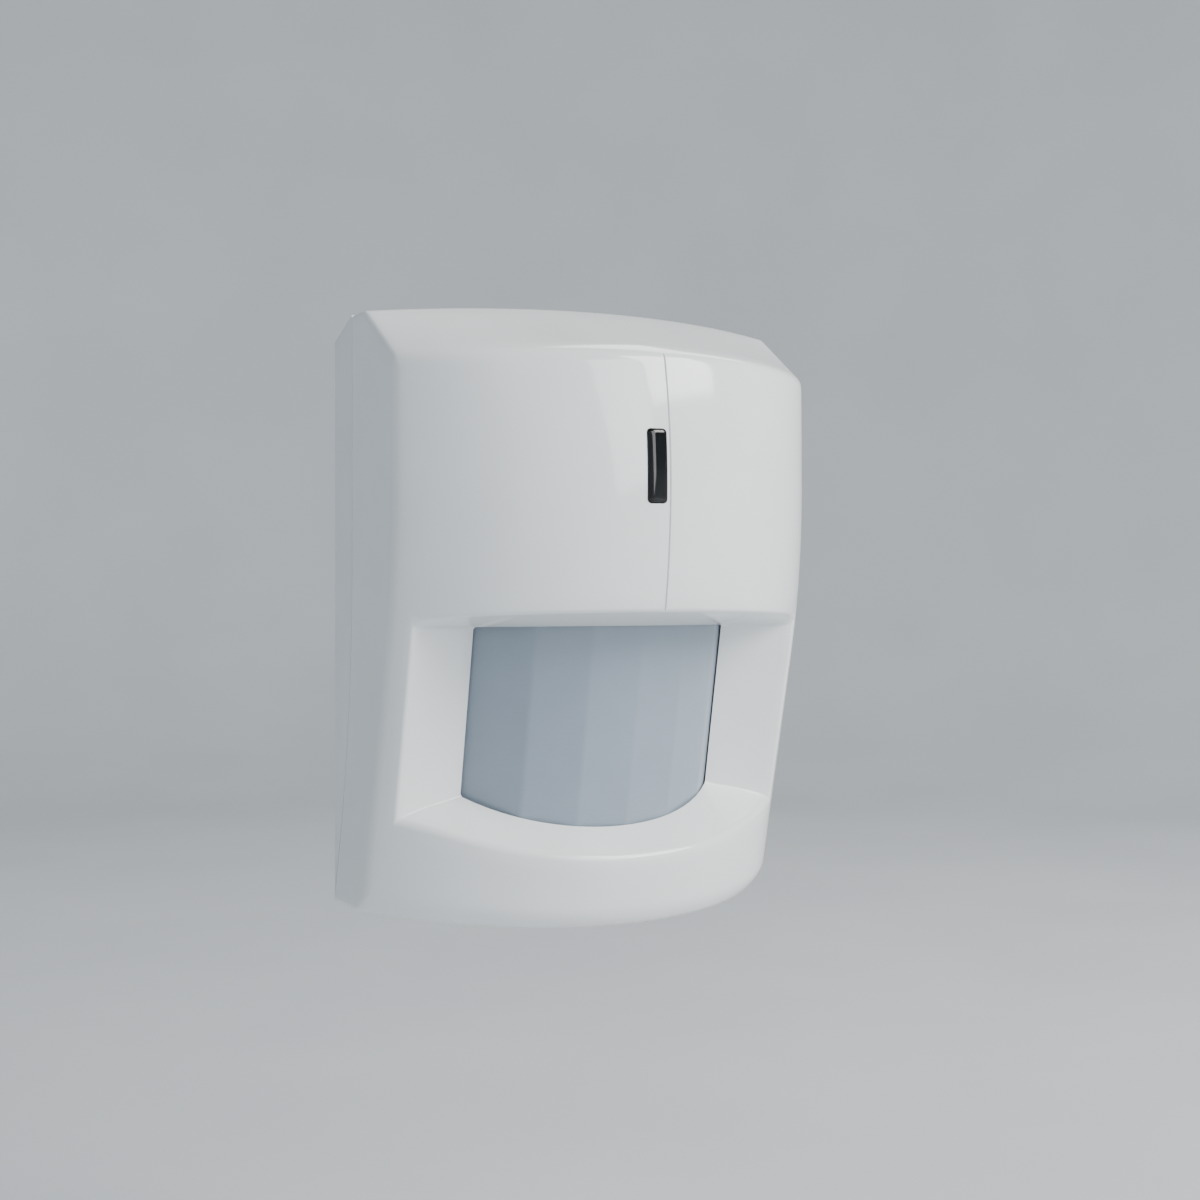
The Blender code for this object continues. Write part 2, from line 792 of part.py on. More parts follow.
def pyro_collar(bm):
    """A soft ring round the can that keeps draughts and insects out."""
    outer, inner, low, high = 7.0, 4.9, SEAT, SEAT - 3.0
    steps = [2 * math.pi * i / 32 for i in range(32)]
    rings = [[bm.verts.new((r * math.cos(a), y, PYRO_Z + r * math.sin(a))) for a in steps]
             for r, y in ((outer, low), (outer, high), (inner, high), (inner, low))]
    for near, far in zip(rings, rings[1:] + rings[:1]):
        for i in range(32):
            j = (i + 1) % 32
            bm.faces.new((near[i], near[j], far[j], far[i]))


def make_pyro():
    can = solid("pyro_sensor_can", pyro_can, "nickel")
    combine(can, "opening", "DIFFERENCE", pyro_opening)
    solid("pyro_window", pyro_window, "dark_window")
    solid("pyro_collar", pyro_collar, "black_plastic")


# The battery lies across the top of the board in a cradle.

def battery(bm):
    half, r = BATTERY_LENGTH / 2, BATTERY_RADIUS
    turned(bm, [(r - 0.8, 0.0), (r, 0.6), (r, 33.0), (r - 0.8, 33.5), (3.2, 33.5),
                (3.2, BATTERY_LENGTH)], (-half, BATTERY_Y, BATTERY_Z), (1, 0, 0), 32)


def battery_cradle(bm):
    """Floor, two ends and two rails in one moulding."""
    block(bm, (-22.0, -24.0, 28.3), (22.0, SEAT, 48.7))


def cradle_hollow(bm):
    """The bay for the battery and its contacts."""
    block(bm, (-20.8, -30.0, 29.7), (20.8, SEAT - 0.9, 47.3))


def contact_spring(bm):
    """A conical coil that presses on the flat end of the battery."""
    turns, points, wire = 3.0, 42, 0.4
    rings = []
    for i in range(points + 1):
        share = i / points
        angle = 2 * math.pi * turns * share
        radius = 5.5 - 2.8 * share
        centre = Vector((-20.0 + 2.2 * share, BATTERY_Y + radius * math.cos(angle),
                         BATTERY_Z + radius * math.sin(angle)))
        out = Vector((0, math.cos(angle), math.sin(angle)))
        rings.append([centre + (out * math.cos(a) + Vector((1, 0, 0)) * math.sin(a)) * wire
                      for a in (2 * math.pi * k / 6 for k in range(6))])
    add_rings(bm, rings)


def contact_plate(bm):
    block(bm, (17.6, BATTERY_Y - 4.5, BATTERY_Z - 5.0), (18.1, BATTERY_Y + 4.5, BATTERY_Z + 5.0))


def make_power():
    solid("battery", battery, "battery_wrap")
    holder = solid("battery_holder", battery_cradle, "black_plastic")
    combine(holder, "bay", "DIFFERENCE", cradle_hollow)
    solid("battery_spring", contact_spring, "nickel")
    solid("battery_contact", contact_plate, "nickel")


# Switches and buttons

def plunger(bm):
    """The tamper switch's stem, with the collar that keeps it in."""
    height = PLUNGER_BASE - PLUNGER_TIP
    turned(bm, [(1.9, 0.0), (1.9, 0.7), (1.2, 0.7), (1.2, height)],
           (TAMPER_X, PLUNGER_BASE, TAMPER_Z), (0, -1, 0), 20)


def tamper_well(bm):
    """The well of the stem's collar, with a narrower mouth."""
    turned(bm, [(2.2, 0.0), (2.2, 2.8), (1.5, 2.8), (1.5, 6.0)],
           (TAMPER_X, PLUNGER_BASE + GAP, TAMPER_Z), (0, -1, 0), 20)


def enrol_cap(bm):
    turned(bm, [(1.75, 0.0), (1.75, 2.1), (1.45, 2.4)],
           (ENROL_X, ENROL_BASE, TAMPER_Z), (0, -1, 0), 20)


def enrol_well(bm):
    """The well that the button's cap moves in, 0.7 mm deeper than the cap."""
    rod(bm, (ENROL_X, ENROL_BASE + 0.7, TAMPER_Z), (ENROL_X, -30.0, TAMPER_Z), 2.05, 20)


def dip_bays(bm):
    for x in DIP_X:
        block(bm, (x - 1.0, -20.0, DIP_Z - 2.2), (x + 1.0, -16.0, DIP_Z + 2.2))


def dip_slider(x):
    """One slider in its off place, at the lower end of its bay."""
    def build(bm):
        block(bm, (x - 0.65, -18.0, DIP_Z - 1.85), (x + 0.65, -16.3, DIP_Z - 0.35))
    return build


def make_switches():
    switch = on_board("tamper_switch", (TAMPER_X, TAMPER_Z), (6.2, 6.2, 4.0), "black_plastic")
    combine(switch, "well", "DIFFERENCE", tamper_well)
    stem_base = (TAMPER_X, PLUNGER_BASE, TAMPER_Z)
    solid("tamper_plunger", plunger, "base_abs", origin=stem_base)
    body = on_board("enrol_switch", (ENROL_X, TAMPER_Z), (6.2, 6.2, 3.4), "black_plastic")
    combine(body, "well", "DIFFERENCE", enrol_well)
    solid("enrol_button", enrol_cap, "base_abs", origin=(ENROL_X, ENROL_BASE, TAMPER_Z))
    dip = on_board("dip_switch", (16.0, DIP_Z), (6.6, 6.0, 3.8), "red_switch")
    combine(dip, "bays", "DIFFERENCE", dip_bays)
    for number, x in enumerate(DIP_X, start=1):
        place = (x, -16.3, DIP_Z - 1.1)
        solid("dip_slider_%d" % number, dip_slider(x), "white_abs", origin=place)


# Radio and small parts

def led_body(bm):
    """A small block with a raised round lens."""
    block(bm, (LED_X - 1.0, SEAT - 0.9, LED_Z - 1.6), (LED_X + 1.0, SEAT, LED_Z + 1.6))


def led_dome(bm):
    turned(bm, [(0.9, 0.6), (0.9, 1.5), (0.5, 1.8)], (LED_X, SEAT, LED_Z), (0, -1, 0), 16)


def antenna(bm):
    """A helical aerial: seven turns, standing along the board's edge."""
    turns, per_turn, wire, radius = 7.0, 14, 0.4, 2.4
    rings = []
    count = int(turns * per_turn)
    for i in range(count + 1):
        angle = 2 * math.pi * i / per_turn
        centre = Vector((-28.0 + radius * math.cos(angle), -17.0 + radius * math.sin(angle),
                         -19.0 + 15.0 * i / count))
        out = Vector((math.cos(angle), math.sin(angle), 0))
        rings.append([centre + (out * math.cos(a) + Vector((0, 0, 1)) * math.sin(a)) * wire
                      for a in (2 * math.pi * k / 6 for k in range(6))])
    add_rings(bm, rings)


def capacitor(bm):
    turned(bm, [(3.15, 0.0), (3.15, 1.6), (2.9, 1.9), (3.15, 2.2), (3.15, 10.6), (2.8, 11.0)],
           (-28.5, SEAT, 32.0), (0, -1, 0), 24)


def make_electronics():
    on_board("microcontroller", (-18.0, 10.0), (9.0, 9.0, 1.2), "black_plastic")
    on_board("crystal", (-9.0, 12.0), (3.4, 9.0, 3.2), "nickel")
    on_board("radio_board", (22.0, -14.0), (16.0, 22.0, 0.9), "solder_mask")
    shield = on_board("radio_shield", (22.0, -17.0), (13.0, 12.0, 2.2), "nickel")
    shield.location.y = -1.2 * MM
    led = solid("status_led", led_body, "clear_acrylic")
    combine(led, "dome", "UNION", led_dome)
    solid("antenna_coil", antenna, "nickel")
    solid("capacitor", capacitor, "battery_wrap")
    on_board("pin_header", (28.5, 34.0), (2.5, 10.0, 2.5), "black_plastic")


# ---------------------------------------------------------- closing screw

def closing_screw(bm):
    turned(bm, [(2.8, 0.0), (2.8, 1.4), (1.5, 1.4), (1.5, 10.6), (0.7, 11.4)],
           (0, SCREW_Y, -57.1), (0, 0, 1), 24)


def closing_cross(bm):
    outline = [(x, SCREW_Y + y) for x, y in cross_outline(1.6, 0.4)]
    prism(bm, outline, -60.0, -56.3)


def make_closing_screw():
    screw = solid("closing_screw", closing_screw, "zinc_steel", origin=(0, SCREW_Y, -57.1))
    combine(screw, "cross", "DIFFERENCE", closing_cross)


def main():
    clear_scene()
    hinge = pivot("cover_hinge", (0, HINGE_Y, HINGE_Z))
    make_base()
    make_board()
    make_pyro()
    make_power()
    make_switches()
    make_electronics()
    make_closing_screw()
    make_cover_group(hinge)


main()
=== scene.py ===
"""Looks of a corner-mounted passive infrared motion sensor.

Laid out as a Blender add-on and run as a script. The sensor's frame is in
metres: the wall is at +Y, the sensor looks towards -Y, and +Z is up.
"""

import math
from contextlib import contextmanager

import bmesh
import bpy
from bpy.props import FloatProperty, FloatVectorProperty, PointerProperty
from mathutils import Matrix, Quaternion, Vector


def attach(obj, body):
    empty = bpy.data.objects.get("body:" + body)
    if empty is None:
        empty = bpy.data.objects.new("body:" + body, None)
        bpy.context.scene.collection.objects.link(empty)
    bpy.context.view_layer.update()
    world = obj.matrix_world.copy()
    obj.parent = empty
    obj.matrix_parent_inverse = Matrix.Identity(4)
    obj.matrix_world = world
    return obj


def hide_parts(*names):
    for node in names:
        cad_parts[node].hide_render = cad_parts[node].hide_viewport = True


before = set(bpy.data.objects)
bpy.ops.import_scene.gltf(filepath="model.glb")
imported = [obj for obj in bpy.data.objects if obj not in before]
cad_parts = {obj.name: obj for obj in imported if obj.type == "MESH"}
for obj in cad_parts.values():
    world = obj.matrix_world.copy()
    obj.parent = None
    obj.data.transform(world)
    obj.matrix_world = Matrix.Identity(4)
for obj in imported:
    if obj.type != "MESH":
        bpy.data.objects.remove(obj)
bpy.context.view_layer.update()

bl_info = {
    "name": "Motion sensor",
    "version": (1, 0, 0),
    "blender": (4, 5, 0),
    "location": "3D View > Sidebar > Sensor",
    "description": "Builds the finished pieces of a passive infrared motion sensor",
    "category": "Add Mesh",
}

MM = 0.001

# Housing surfaces, in millimetres
FRONT_HALF_WIDTH = 42.9
EDGE = 43.0                  # the edge column, before the side's draft is added
EDGE_Y = -40.3
SIDE_DRAFT = 0.02
BEND_Z, BEND_RADIUS, LEAN = 24.0, 130.0, math.radians(14.5)
FRONT_BOW, BOW_EASE = 22.8, 220.0
TOP_Z, TOP_Y, TOP_BOW = 56.7, -24.9, 9.5
BROW_Z, CROWN = 46.0, 1.3
CHIN_Z, CHIN_CROWN = -52.0, 2.7
FOOT_Z, FOOT_CROWN, FOOT_Y, FOOT_BOW = -55.0, 2.3, -20.5, 24.4
PART_Y, PART_BEND_Z, PART_RADIUS, FOOT_PART_Y = -18.8, 10.0, 215.0, -9.0
RECESS_HALF_WIDTH = 40.0
OPENING_HALF_WIDTH = 26.3
CHORD_Y, LEDGE_Z, LEDGE_SLOPE = -30.4, -34.0, 0.5
VISOR_CROWN, VISOR_DROP, VISOR_ARCH = 1.1, 1.8, 0.3
LEDGE_FALL, LEDGE_FALL_START, LEDGE_LIFT = 1.5, 30.0, 0.6
LENS_TILT = math.radians(11.3)
LENS_RADIUS, LENS_CENTRE = 35.1, 23.7
SLOT_LEFT, SLOT_RIGHT, SLOT_LOW, SLOT_HIGH = -4.16, -0.24, 20.2, 33.5
SLOT_CORNER = 0.7
SEAM, SEAM_LOW, SEAM_HIGH = (0.22, 0.30, 0.50, 0.58), 1.4, 46.8
SCREW_Y = -12.6
GAP = 0.3                    # between neighbouring pieces

LENS_FRAME = Matrix.Translation((0, CHORD_Y, LEDGE_Z)) @ Matrix.Rotation(LENS_TILT, 4, "X")


# ------------------------------------------------------------ modelling

def deselect():
    bpy.ops.object.select_all(action="DESELECT")


def focus(item):
    """Select one object and make it the active one."""
    deselect()
    item.select_set(True)
    bpy.context.view_layer.objects.active = item


def primitive(kind, name, **settings):
    """Add a mesh primitive under a name."""
    deselect()
    getattr(bpy.ops.mesh, "primitive_%s_add" % kind)(**settings)
    item = bpy.context.object
    item.name = name
    return item


def box(name, low, high):
    """A cube stretched between two corners, in millimetres."""
    low, high = Vector(low), Vector(high)
    item = primitive("cube", name, size=1.0, location=(low + high) / 2 * MM)
    item.scale = (high - low) * MM
    bpy.ops.object.transform_apply(location=True, rotation=True, scale=True)
    return item


def rod(name, start, end, radius, vertices=32):
    """A round bar between two points, in millimetres."""
    start, end = Vector(start), Vector(end)
    along = end - start
    turn = along.to_track_quat("Z", "Y").to_euler()
    item = primitive("cone", name, vertices=vertices, radius1=radius * MM, radius2=radius * MM,
                     depth=along.length * MM, location=(start + end) / 2 * MM, rotation=turn)
    bpy.ops.object.transform_apply(location=True, rotation=True, scale=True)
    return item


@contextmanager
def editing(item, mode="FACE"):
    """Open an object in edit mode with nothing selected."""
    focus(item)
    bpy.ops.object.mode_set(mode="EDIT")
    bpy.ops.mesh.select_mode(type=mode)
    bpy.ops.mesh.select_all(action="DESELECT")
    yield bmesh.from_edit_mesh(item.data)
    bpy.ops.object.mode_set(mode="OBJECT")


def choose(item, elements, test):
    """Select the faces, edges or corners that pass a test."""
    for element in elements:
        element.select_set(bool(test(element)))
    bmesh.from_edit_mesh(item.data).select_flush_mode()
    bmesh.update_edit_mesh(item.data)


def apply_modifier(item, kind, **settings):
    """Add a modifier with its settings and apply it."""
    focus(item)
    modifier = item.modifiers.new(kind.lower(), kind)
    for name, value in settings.items():
        setattr(modifier, name, value)
    bpy.ops.object.modifier_apply(modifier=modifier.name)


def combine(item, tool, operation):
    """Join a tool to an object or cut it away, and remove the tool."""
    apply_modifier(item, "BOOLEAN", object=tool, operation=operation, solver="EXACT")
    bpy.data.objects.remove(tool, do_unlink=True)


def join(first, *others):
    """Make several objects one, as separate closed bodies."""
    deselect()
    for item in (first, *others):
        item.select_set(True)
    bpy.context.view_layer.objects.active = first
    bpy.ops.object.join()
    return first


def round_edges(item, width, segments=3, angle=30.0):
    apply_modifier(item, "BEVEL", width=width * MM, segments=segments, limit_method="ANGLE",
                   angle_limit=math.radians(angle), use_clamp_overlap=True)


def round_along_depth(item, radius, segments, low=-1000.0):
    """Round the edges that run from front to back, above a height in millimetres."""
    with editing(item, "EDGE") as mesh:
        choose(item, mesh.edges, lambda e: abs(e.verts[0].co.y - e.verts[1].co.y) > MM
               and min(v.co.z for v in e.verts) > low * MM)
        bpy.ops.mesh.bevel(offset=radius * MM, segments=segments)


def settle(item, body, look, replaced=(), angle=32.0):
    """Shade a finished piece, give it its finish and let it ride on its body."""
    focus(item)
    bpy.ops.object.transform_apply(location=True, rotation=True, scale=True)
    bpy.ops.object.shade_smooth_by_angle(angle=math.radians(angle))
    item.data.materials.clear()
    item.data.materials.append(material(look))
    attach(item, body)
    if replaced:
        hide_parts(*replaced)
    return item


def between(first, last, steps):
    """Evenly spaced values, ends included."""
    return [first + (last - first) * i / steps for i in range(steps + 1)]


# ------------------------------------------------------------ housing surfaces

def bulge(x, half_width, bow):
    """Depth of a circular arc of a given bow, at a place across it."""
    radius = (half_width ** 2 + bow ** 2) / (2.0 * bow)
    return math.sqrt(radius ** 2 - x ** 2) - math.sqrt(radius ** 2 - half_width ** 2)


def crown(x, rise):
    return rise * (1.0 - (x / EDGE) ** 2)


def side_x(y):
    return FRONT_HALF_WIDTH + SIDE_DRAFT * (y - EDGE_Y)


def edge_y(z):
    """The front corner edge in side view: upright, then bent back."""
    drop = max(0.0, BEND_Z - z)
    arc_drop = BEND_RADIUS * math.sin(LEAN)
    if drop < arc_drop:
        return EDGE_Y + BEND_RADIUS - math.sqrt(BEND_RADIUS ** 2 - drop ** 2)
    return EDGE_Y + BEND_RADIUS * (1.0 - math.cos(LEAN)) + (drop - arc_drop) * math.tan(LEAN)


def front_y(x, z):
    half = side_x(edge_y(z))
    bow = FRONT_BOW - max(0.0, z - BEND_Z) ** 2 / BOW_EASE
    return edge_y(z) - bulge(min(abs(x), half), half, bow)


def part_y(z):
    """The parting line between the cover and the base, in side view."""
    if z <= FOOT_Z:
        return FOOT_PART_Y
    drop = max(0.0, PART_BEND_Z - z)
    return PART_Y + PART_RADIUS - math.sqrt(PART_RADIUS ** 2 - drop ** 2)


def chord_y(z):
    return CHORD_Y - (z - LEDGE_Z) * math.tan(LENS_TILT)


def recess_y(x, z):
    """The recess's cheeks, from the lens opening up to the front face."""
    share = (abs(x) - OPENING_HALF_WIDTH) / (RECESS_HALF_WIDTH - OPENING_HALF_WIDTH)
    share = min(max(share, 0.0), 1.0)
    return chord_y(z) + share * (front_y(RECESS_HALF_WIDTH, z) - chord_y(z))


def lens_y(x, z):
    """The lens's outer face, one gap clear of it, at a place in the frame."""
    y = chord_y(z)
    for _ in range(6):
        up = (z - LEDGE_Z - (y - CHORD_Y) * math.tan(LENS_TILT)) * math.cos(LENS_TILT)
        local = LENS_CENTRE - math.sqrt(max(0.0, (LENS_RADIUS + GAP) ** 2 - x ** 2))
        y = (LENS_FRAME @ Vector((x, local, up + local * math.tan(LENS_TILT)))).y
    return y


def meet(x, depth, start_z, slope):
    """Where a sloping plane meets a surface given by depth(x, z)."""
    z = start_z
    for _ in range(20):
        z = start_z + slope * (depth(x, z) - CHORD_Y)
    return depth(x, z), z


# Places on the circuit board, in millimetres
SEAT = -13.7                 # the underside of what stands on the board
SWITCH_Z = 18.0
TAMPER_X, ENROL_X = -27.0, 27.0
PLUNGER_BASE, PLUNGER_TIP = -14.9, -23.0
ENROL_BASE = -16.5
PYRO_Z = -12.0
BATTERY_RADIUS, BATTERY_Y, BATTERY_Z = 8.5, -23.4, 38.5
LED_X, LED_Z = -2.2, 23.5
DIP_X, DIP_Z = (14.73, 17.27), 12.0
CHIP_X, CHIP_Z = -18.0, 10.0


# ------------------------------------------------------------ materials

def linear(code):
    """An sRGB hex colour as linear RGBA."""
    channels = [int(code[i:i + 2], 16) / 255.0 for i in (1, 3, 5)]
    return tuple(c / 12.92 if c <= 0.04045 else ((c + 0.055) / 1.055) ** 2.4
                 for c in channels) + (1.0,)


def add_node(tree, kind, sockets=None, **settings):
    """Add a shader node, set it up, and fill or link its sockets."""
    node = tree.nodes.new("ShaderNode" + kind)
    for name, value in settings.items():
        setattr(node, name, value)
    for name, value in (sockets or {}).items():
        if isinstance(value, bpy.types.NodeSocket):
            tree.links.new(value, node.inputs[name])
        else:
            node.inputs[name].default_value = value
    return node


def new_tree(name):
    """An empty material under a name, and its node tree."""
    made = bpy.data.materials.new(name)
    made.use_nodes = True
    made.node_tree.nodes.clear()
    return made, made.node_tree


def place_of(tree):
    return add_node(tree, "TexCoord").outputs["Object"]


def noise(tree, size):
    """Noise whose features have a size in millimetres."""
    sockets = {"Vector": place_of(tree), "Scale": 1.0 / (size * MM), "Detail": 2.0}
    return add_node(tree, "TexNoise", sockets).outputs["Fac"]


def ramp(tree, factor, stops, interpolation="LINEAR"):
    """Turn a factor into colours placed along it."""
    node = add_node(tree, "ValToRGB", {"Fac": factor})
    node.color_ramp.interpolation = interpolation
    elements = node.color_ramp.elements
    for place, colour in stops[2:]:
        elements.new(place)
    for element, (place, colour) in zip(elements, stops):
        element.position = place
        element.color = colour
    return node.outputs["Color"]


def spread(tree, factor, low, high):
    """Turn the useful middle of a noise into a range of values."""
    sockets = {"Value": factor, "From Min": 0.3, "From Max": 0.7, "To Min": low, "To Max": high}
    return add_node(tree, "MapRange", sockets).outputs["Result"]


def relief(tree, height, depth):
    """Bump of a depth in millimetres."""
    return add_node(tree, "Bump", {"Height": height, "Distance": depth * MM,
                                   "Strength": 1.0}).outputs["Normal"]


def output(tree, shader):
    add_node(tree, "OutputMaterial", {"Surface": shader.outputs["BSDF"]})


def chosen(colour, share=1.0):
    """A colour picked in the panel, darkened to a share, as linear RGBA."""
    return tuple(channel * share for channel in colour) + (1.0,)


def finish(name, dark, light, roughness, patch, grain, depth, constants):
    """Colour and gloss that drift between two values in patches, over a relief
    of finer grains. Patch, grain and depth are in millimetres."""
    made, tree = new_tree(name)
    patches = noise(tree, patch)
    grains = noise(tree, grain)
    sockets = {"Base Color": ramp(tree, patches, [(0.35, dark), (0.65, light)]),
               "Roughness": spread(tree, patches, *roughness),
               "Normal": relief(tree, grains, depth)}
    sockets.update(constants)
    output(tree, add_node(tree, "BsdfPrincipled", sockets))
    return made


def glossy_abs(name):
    # polished moulded ABS: soft reflections with a hint of unevenness
    colour = bpy.context.scene.sensor.cover_colour
    return finish(name, chosen(colour, 0.96), chosen(colour), (0.09, 0.13), 22.0, 3.0, 0.002,
                  {"IOR": 1.54})


def textured_abs(name):
    # the base's fine spark-eroded grain, duller than the cover
    colour = bpy.context.scene.sensor.base_colour
    return finish(name, chosen(colour, 0.95), chosen(colour), (0.40, 0.48), 18.0, 0.6, 0.012,
                  {"IOR": 1.54})


def lens_film(name):
    """Milky polyethylene with fine moulded rings round each facet's middle."""
    made, tree = new_tree(name)
    pitch = 0.0105
    parts = add_node(tree, "SeparateXYZ", {"Vector": place_of(tree)})
    across = add_node(tree, "Math", {0: parts.outputs["X"], 1: pitch}, operation="WRAP")
    across.inputs[2].default_value = 0.0
    centred = add_node(tree, "CombineXYZ", {"X": across.outputs[0], "Z": parts.outputs["Z"]})
    rings = add_node(tree, "TexWave", {"Vector": centred.outputs[0], "Scale": 320.0},
                     wave_type="RINGS", rings_direction="Y", wave_profile="SAW")
    clouds = noise(tree, 6.0)
    # the rings catch the light faintly; the clouds keep the film uneven
    colour = bpy.context.scene.sensor.lens_colour
    sockets = {"Base Color": ramp(tree, clouds, [(0.35, chosen(colour, 0.97)),
                                                 (0.65, chosen(colour))]),
               "Roughness": spread(tree, clouds, 0.30, 0.34),
               "Normal": relief(tree, rings.outputs["Fac"], 0.010),
               "Transmission Weight": 0.22, "IOR": 1.54}
    output(tree, add_node(tree, "BsdfPrincipled", sockets))
    return made


def solder_mask(name):
    """Green lacquer over copper tracks, with tinned holes."""
    made, tree = new_tree(name)
    flat = add_node(tree, "Mapping", {"Vector": place_of(tree),
                                      "Scale": (1.0, 0.02, 1.0)}).outputs["Vector"]
    cells = add_node(tree, "TexVoronoi", {"Vector": flat, "Scale": 210.0}, distance="CHEBYCHEV",
                     feature="F1")
    tracks = add_node(tree, "Math", {0: cells.outputs["Distance"], 1: 7.0}, operation="MULTIPLY")
    bands = add_node(tree, "Math", {0: tracks.outputs[0]}, operation="FRACT").outputs[0]
    holes = add_node(tree, "TexVoronoi", {"Vector": flat, "Scale": 130.0}).outputs["Distance"]
    # copper reads as a paler green under the lacquer
    lacquer = ramp(tree, bands, [(0.0, linear("#0E5A35")), (0.62, linear("#1E7A4B"))], "CONSTANT")
    dot = ramp(tree, holes, [(0.0, (1, 1, 1, 1)), (0.10, (0, 0, 0, 1))], "CONSTANT")
    colour = add_node(tree, "Mix", data_type="RGBA")
    tree.links.new(dot, colour.inputs["Factor"])
    tree.links.new(lacquer, colour.inputs[6])
    colour.inputs[7].default_value = linear("#C9C6BC")
    sockets = {"Base Color": colour.outputs[2],
               "Roughness": spread(tree, bands, 0.30, 0.36),
               "Normal": relief(tree, bands, 0.02), "IOR": 1.5}
    output(tree, add_node(tree, "BsdfPrincipled", sockets))
    return made


MADE_BY = {"moulded_abs_gloss": glossy_abs, "moulded_abs_textured": textured_abs,
           "polyethylene_lens_film": lens_film, "solder_mask": solder_mask}

FINISHES = {
    # name: dark and light shade, roughness range, size of patches, size of grains,
    # depth of relief, and constants of the shader

    # tinted acrylic: black, mirror smooth
    "tinted_acrylic": ("#050607", "#0A0B0D", (0.04, 0.08), 4.0, 1.2, 0.0006, {"IOR": 1.49}),
    # water-clear moulding with faint flow marks
    "clear_acrylic": ("#F2F7F8", "#FAFCFC", (0.03, 0.07), 5.0, 1.5, 0.002,
                      {"IOR": 1.49, "Transmission Weight": 0.92}),
    # glass-filled nylon: near black with a dull, slightly cloudy skin
    "black_nylon": ("#141416", "#1D1E20", (0.42, 0.55), 5.0, 0.5, 0.010, {"IOR": 1.53}),
    # moulded chip packages, with a fine matt grain
    "black_epoxy": ("#18181A", "#202123", (0.55, 0.65), 2.0, 0.15, 0.006, {"IOR": 1.55}),
    # closed-cell foam: deep pores and no shine
    "black_foam": ("#101011", "#1B1B1D", (0.85, 0.95), 1.5, 0.35, 0.12, {"IOR": 1.45}),
    # satin nickel with fine handling marks
    "nickel_plate": ("#B5B1A8", "#C2BFB7", (0.20, 0.32), 3.0, 0.25, 0.003, {"Metallic": 1.0}),
    # blue-passivated zinc on steel, slightly mottled
    "zinc_plated_steel": ("#A9AEB4", "#BDC1C6", (0.28, 0.40), 1.6, 0.3, 0.004,
                          {"Metallic": 1.0}),
    # bright tinned leads
    "tinned_copper": ("#C3C5C8", "#D2D4D6", (0.22, 0.34), 1.2, 0.2, 0.004, {"Metallic": 1.0}),
    # thin gold: warm, and a little brighter than the nickel
    "gold_plate": ("#C9A24A", "#D8B65F", (0.20, 0.28), 1.0, 0.2, 0.002, {"Metallic": 1.0}),
    # glossy PVC sleeve, tight over the cell
    "pvc_shrink_sleeve": ("#1C3F6E", "#234B80", (0.22, 0.30), 6.0, 1.0, 0.010, {"IOR": 1.53}),
    # the capacitor's dark sleeve
    "capacitor_sleeve": ("#16181F", "#20232C", (0.25, 0.34), 4.0, 0.8, 0.008, {"IOR": 1.53}),
    # moulded red switch body, evenly satin
    "red_nylon": ("#8E1A1A", "#A02222", (0.35, 0.45), 3.0, 0.4, 0.006, {"IOR": 1.53}),
    # dark infrared filter with a slight purple sheen
    "silicon_window": ("#1B1720", "#241E2A", (0.06, 0.12), 2.0, 0.8, 0.001, {"IOR": 1.9}),
    # pale brown sintered chips
    "sintered_ceramic": ("#9C8467", "#AD9476", (0.45, 0.55), 0.8, 0.1, 0.004, {"IOR": 1.6}),
    # plain matt studio floor, barely mottled
    "studio_floor": ("#CFD3D7", "#D3D7DA", (0.75, 0.85), 120.0, 6.0, 0.02, {}),
}


def material(name):
    """Return a material by name, made on first use."""
    if name in bpy.data.materials:
        return bpy.data.materials[name]
    if name in MADE_BY:
        return MADE_BY[name](name)
    dark, light, roughness, patch, grain, depth, constants = FINISHES[name]
    return finish(name, linear(dark), linear(light), roughness, patch, grain, depth, constants)


# ------------------------------------------------------------ settings

class SensorSettings(bpy.types.PropertyGroup):
    """The sizes, colours and light that a user would change."""
    wall: FloatProperty(name="Cover wall", description="Wall thickness of the front cover",
                        default=0.002, min=0.0015, max=0.0025, precision=4, unit="LENGTH")
    edge_radius: FloatProperty(name="Edge radius", description="Rounding of the front edges",
                               default=0.0014, min=0.0004, max=0.0016, precision=4,
                               unit="LENGTH")
    seam_depth: FloatProperty(name="Seam depth", description="Depth of the line down the front",
                              default=0.0004, min=0.0, max=0.001, precision=4, unit="LENGTH")
    facet_flatness: FloatProperty(name="Lens facets", description="How flat each lens facet is",
                                  default=0.8, min=0.0, max=1.0, subtype="FACTOR")
    cover_colour: FloatVectorProperty(name="Cover", description="Colour of the front cover",
                                      subtype="COLOR", min=0.0, max=1.0,
                                      default=linear("#EAEDEE")[:3])
    base_colour: FloatVectorProperty(name="Base", description="Colour of the rear base",
                                     subtype="COLOR", min=0.0, max=1.0,
                                     default=linear("#E7EBED")[:3])
    lens_colour: FloatVectorProperty(name="Lens", description="Colour of the lens film",
                                     subtype="COLOR", min=0.0, max=1.0,
                                     default=linear("#9DABB9")[:3])
    key_power: FloatProperty(name="Key light", description="Power of the main soft panel",
                             default=30.0, min=0.0, max=200.0, unit="POWER")


# ------------------------------------------------------------ shapes by rings

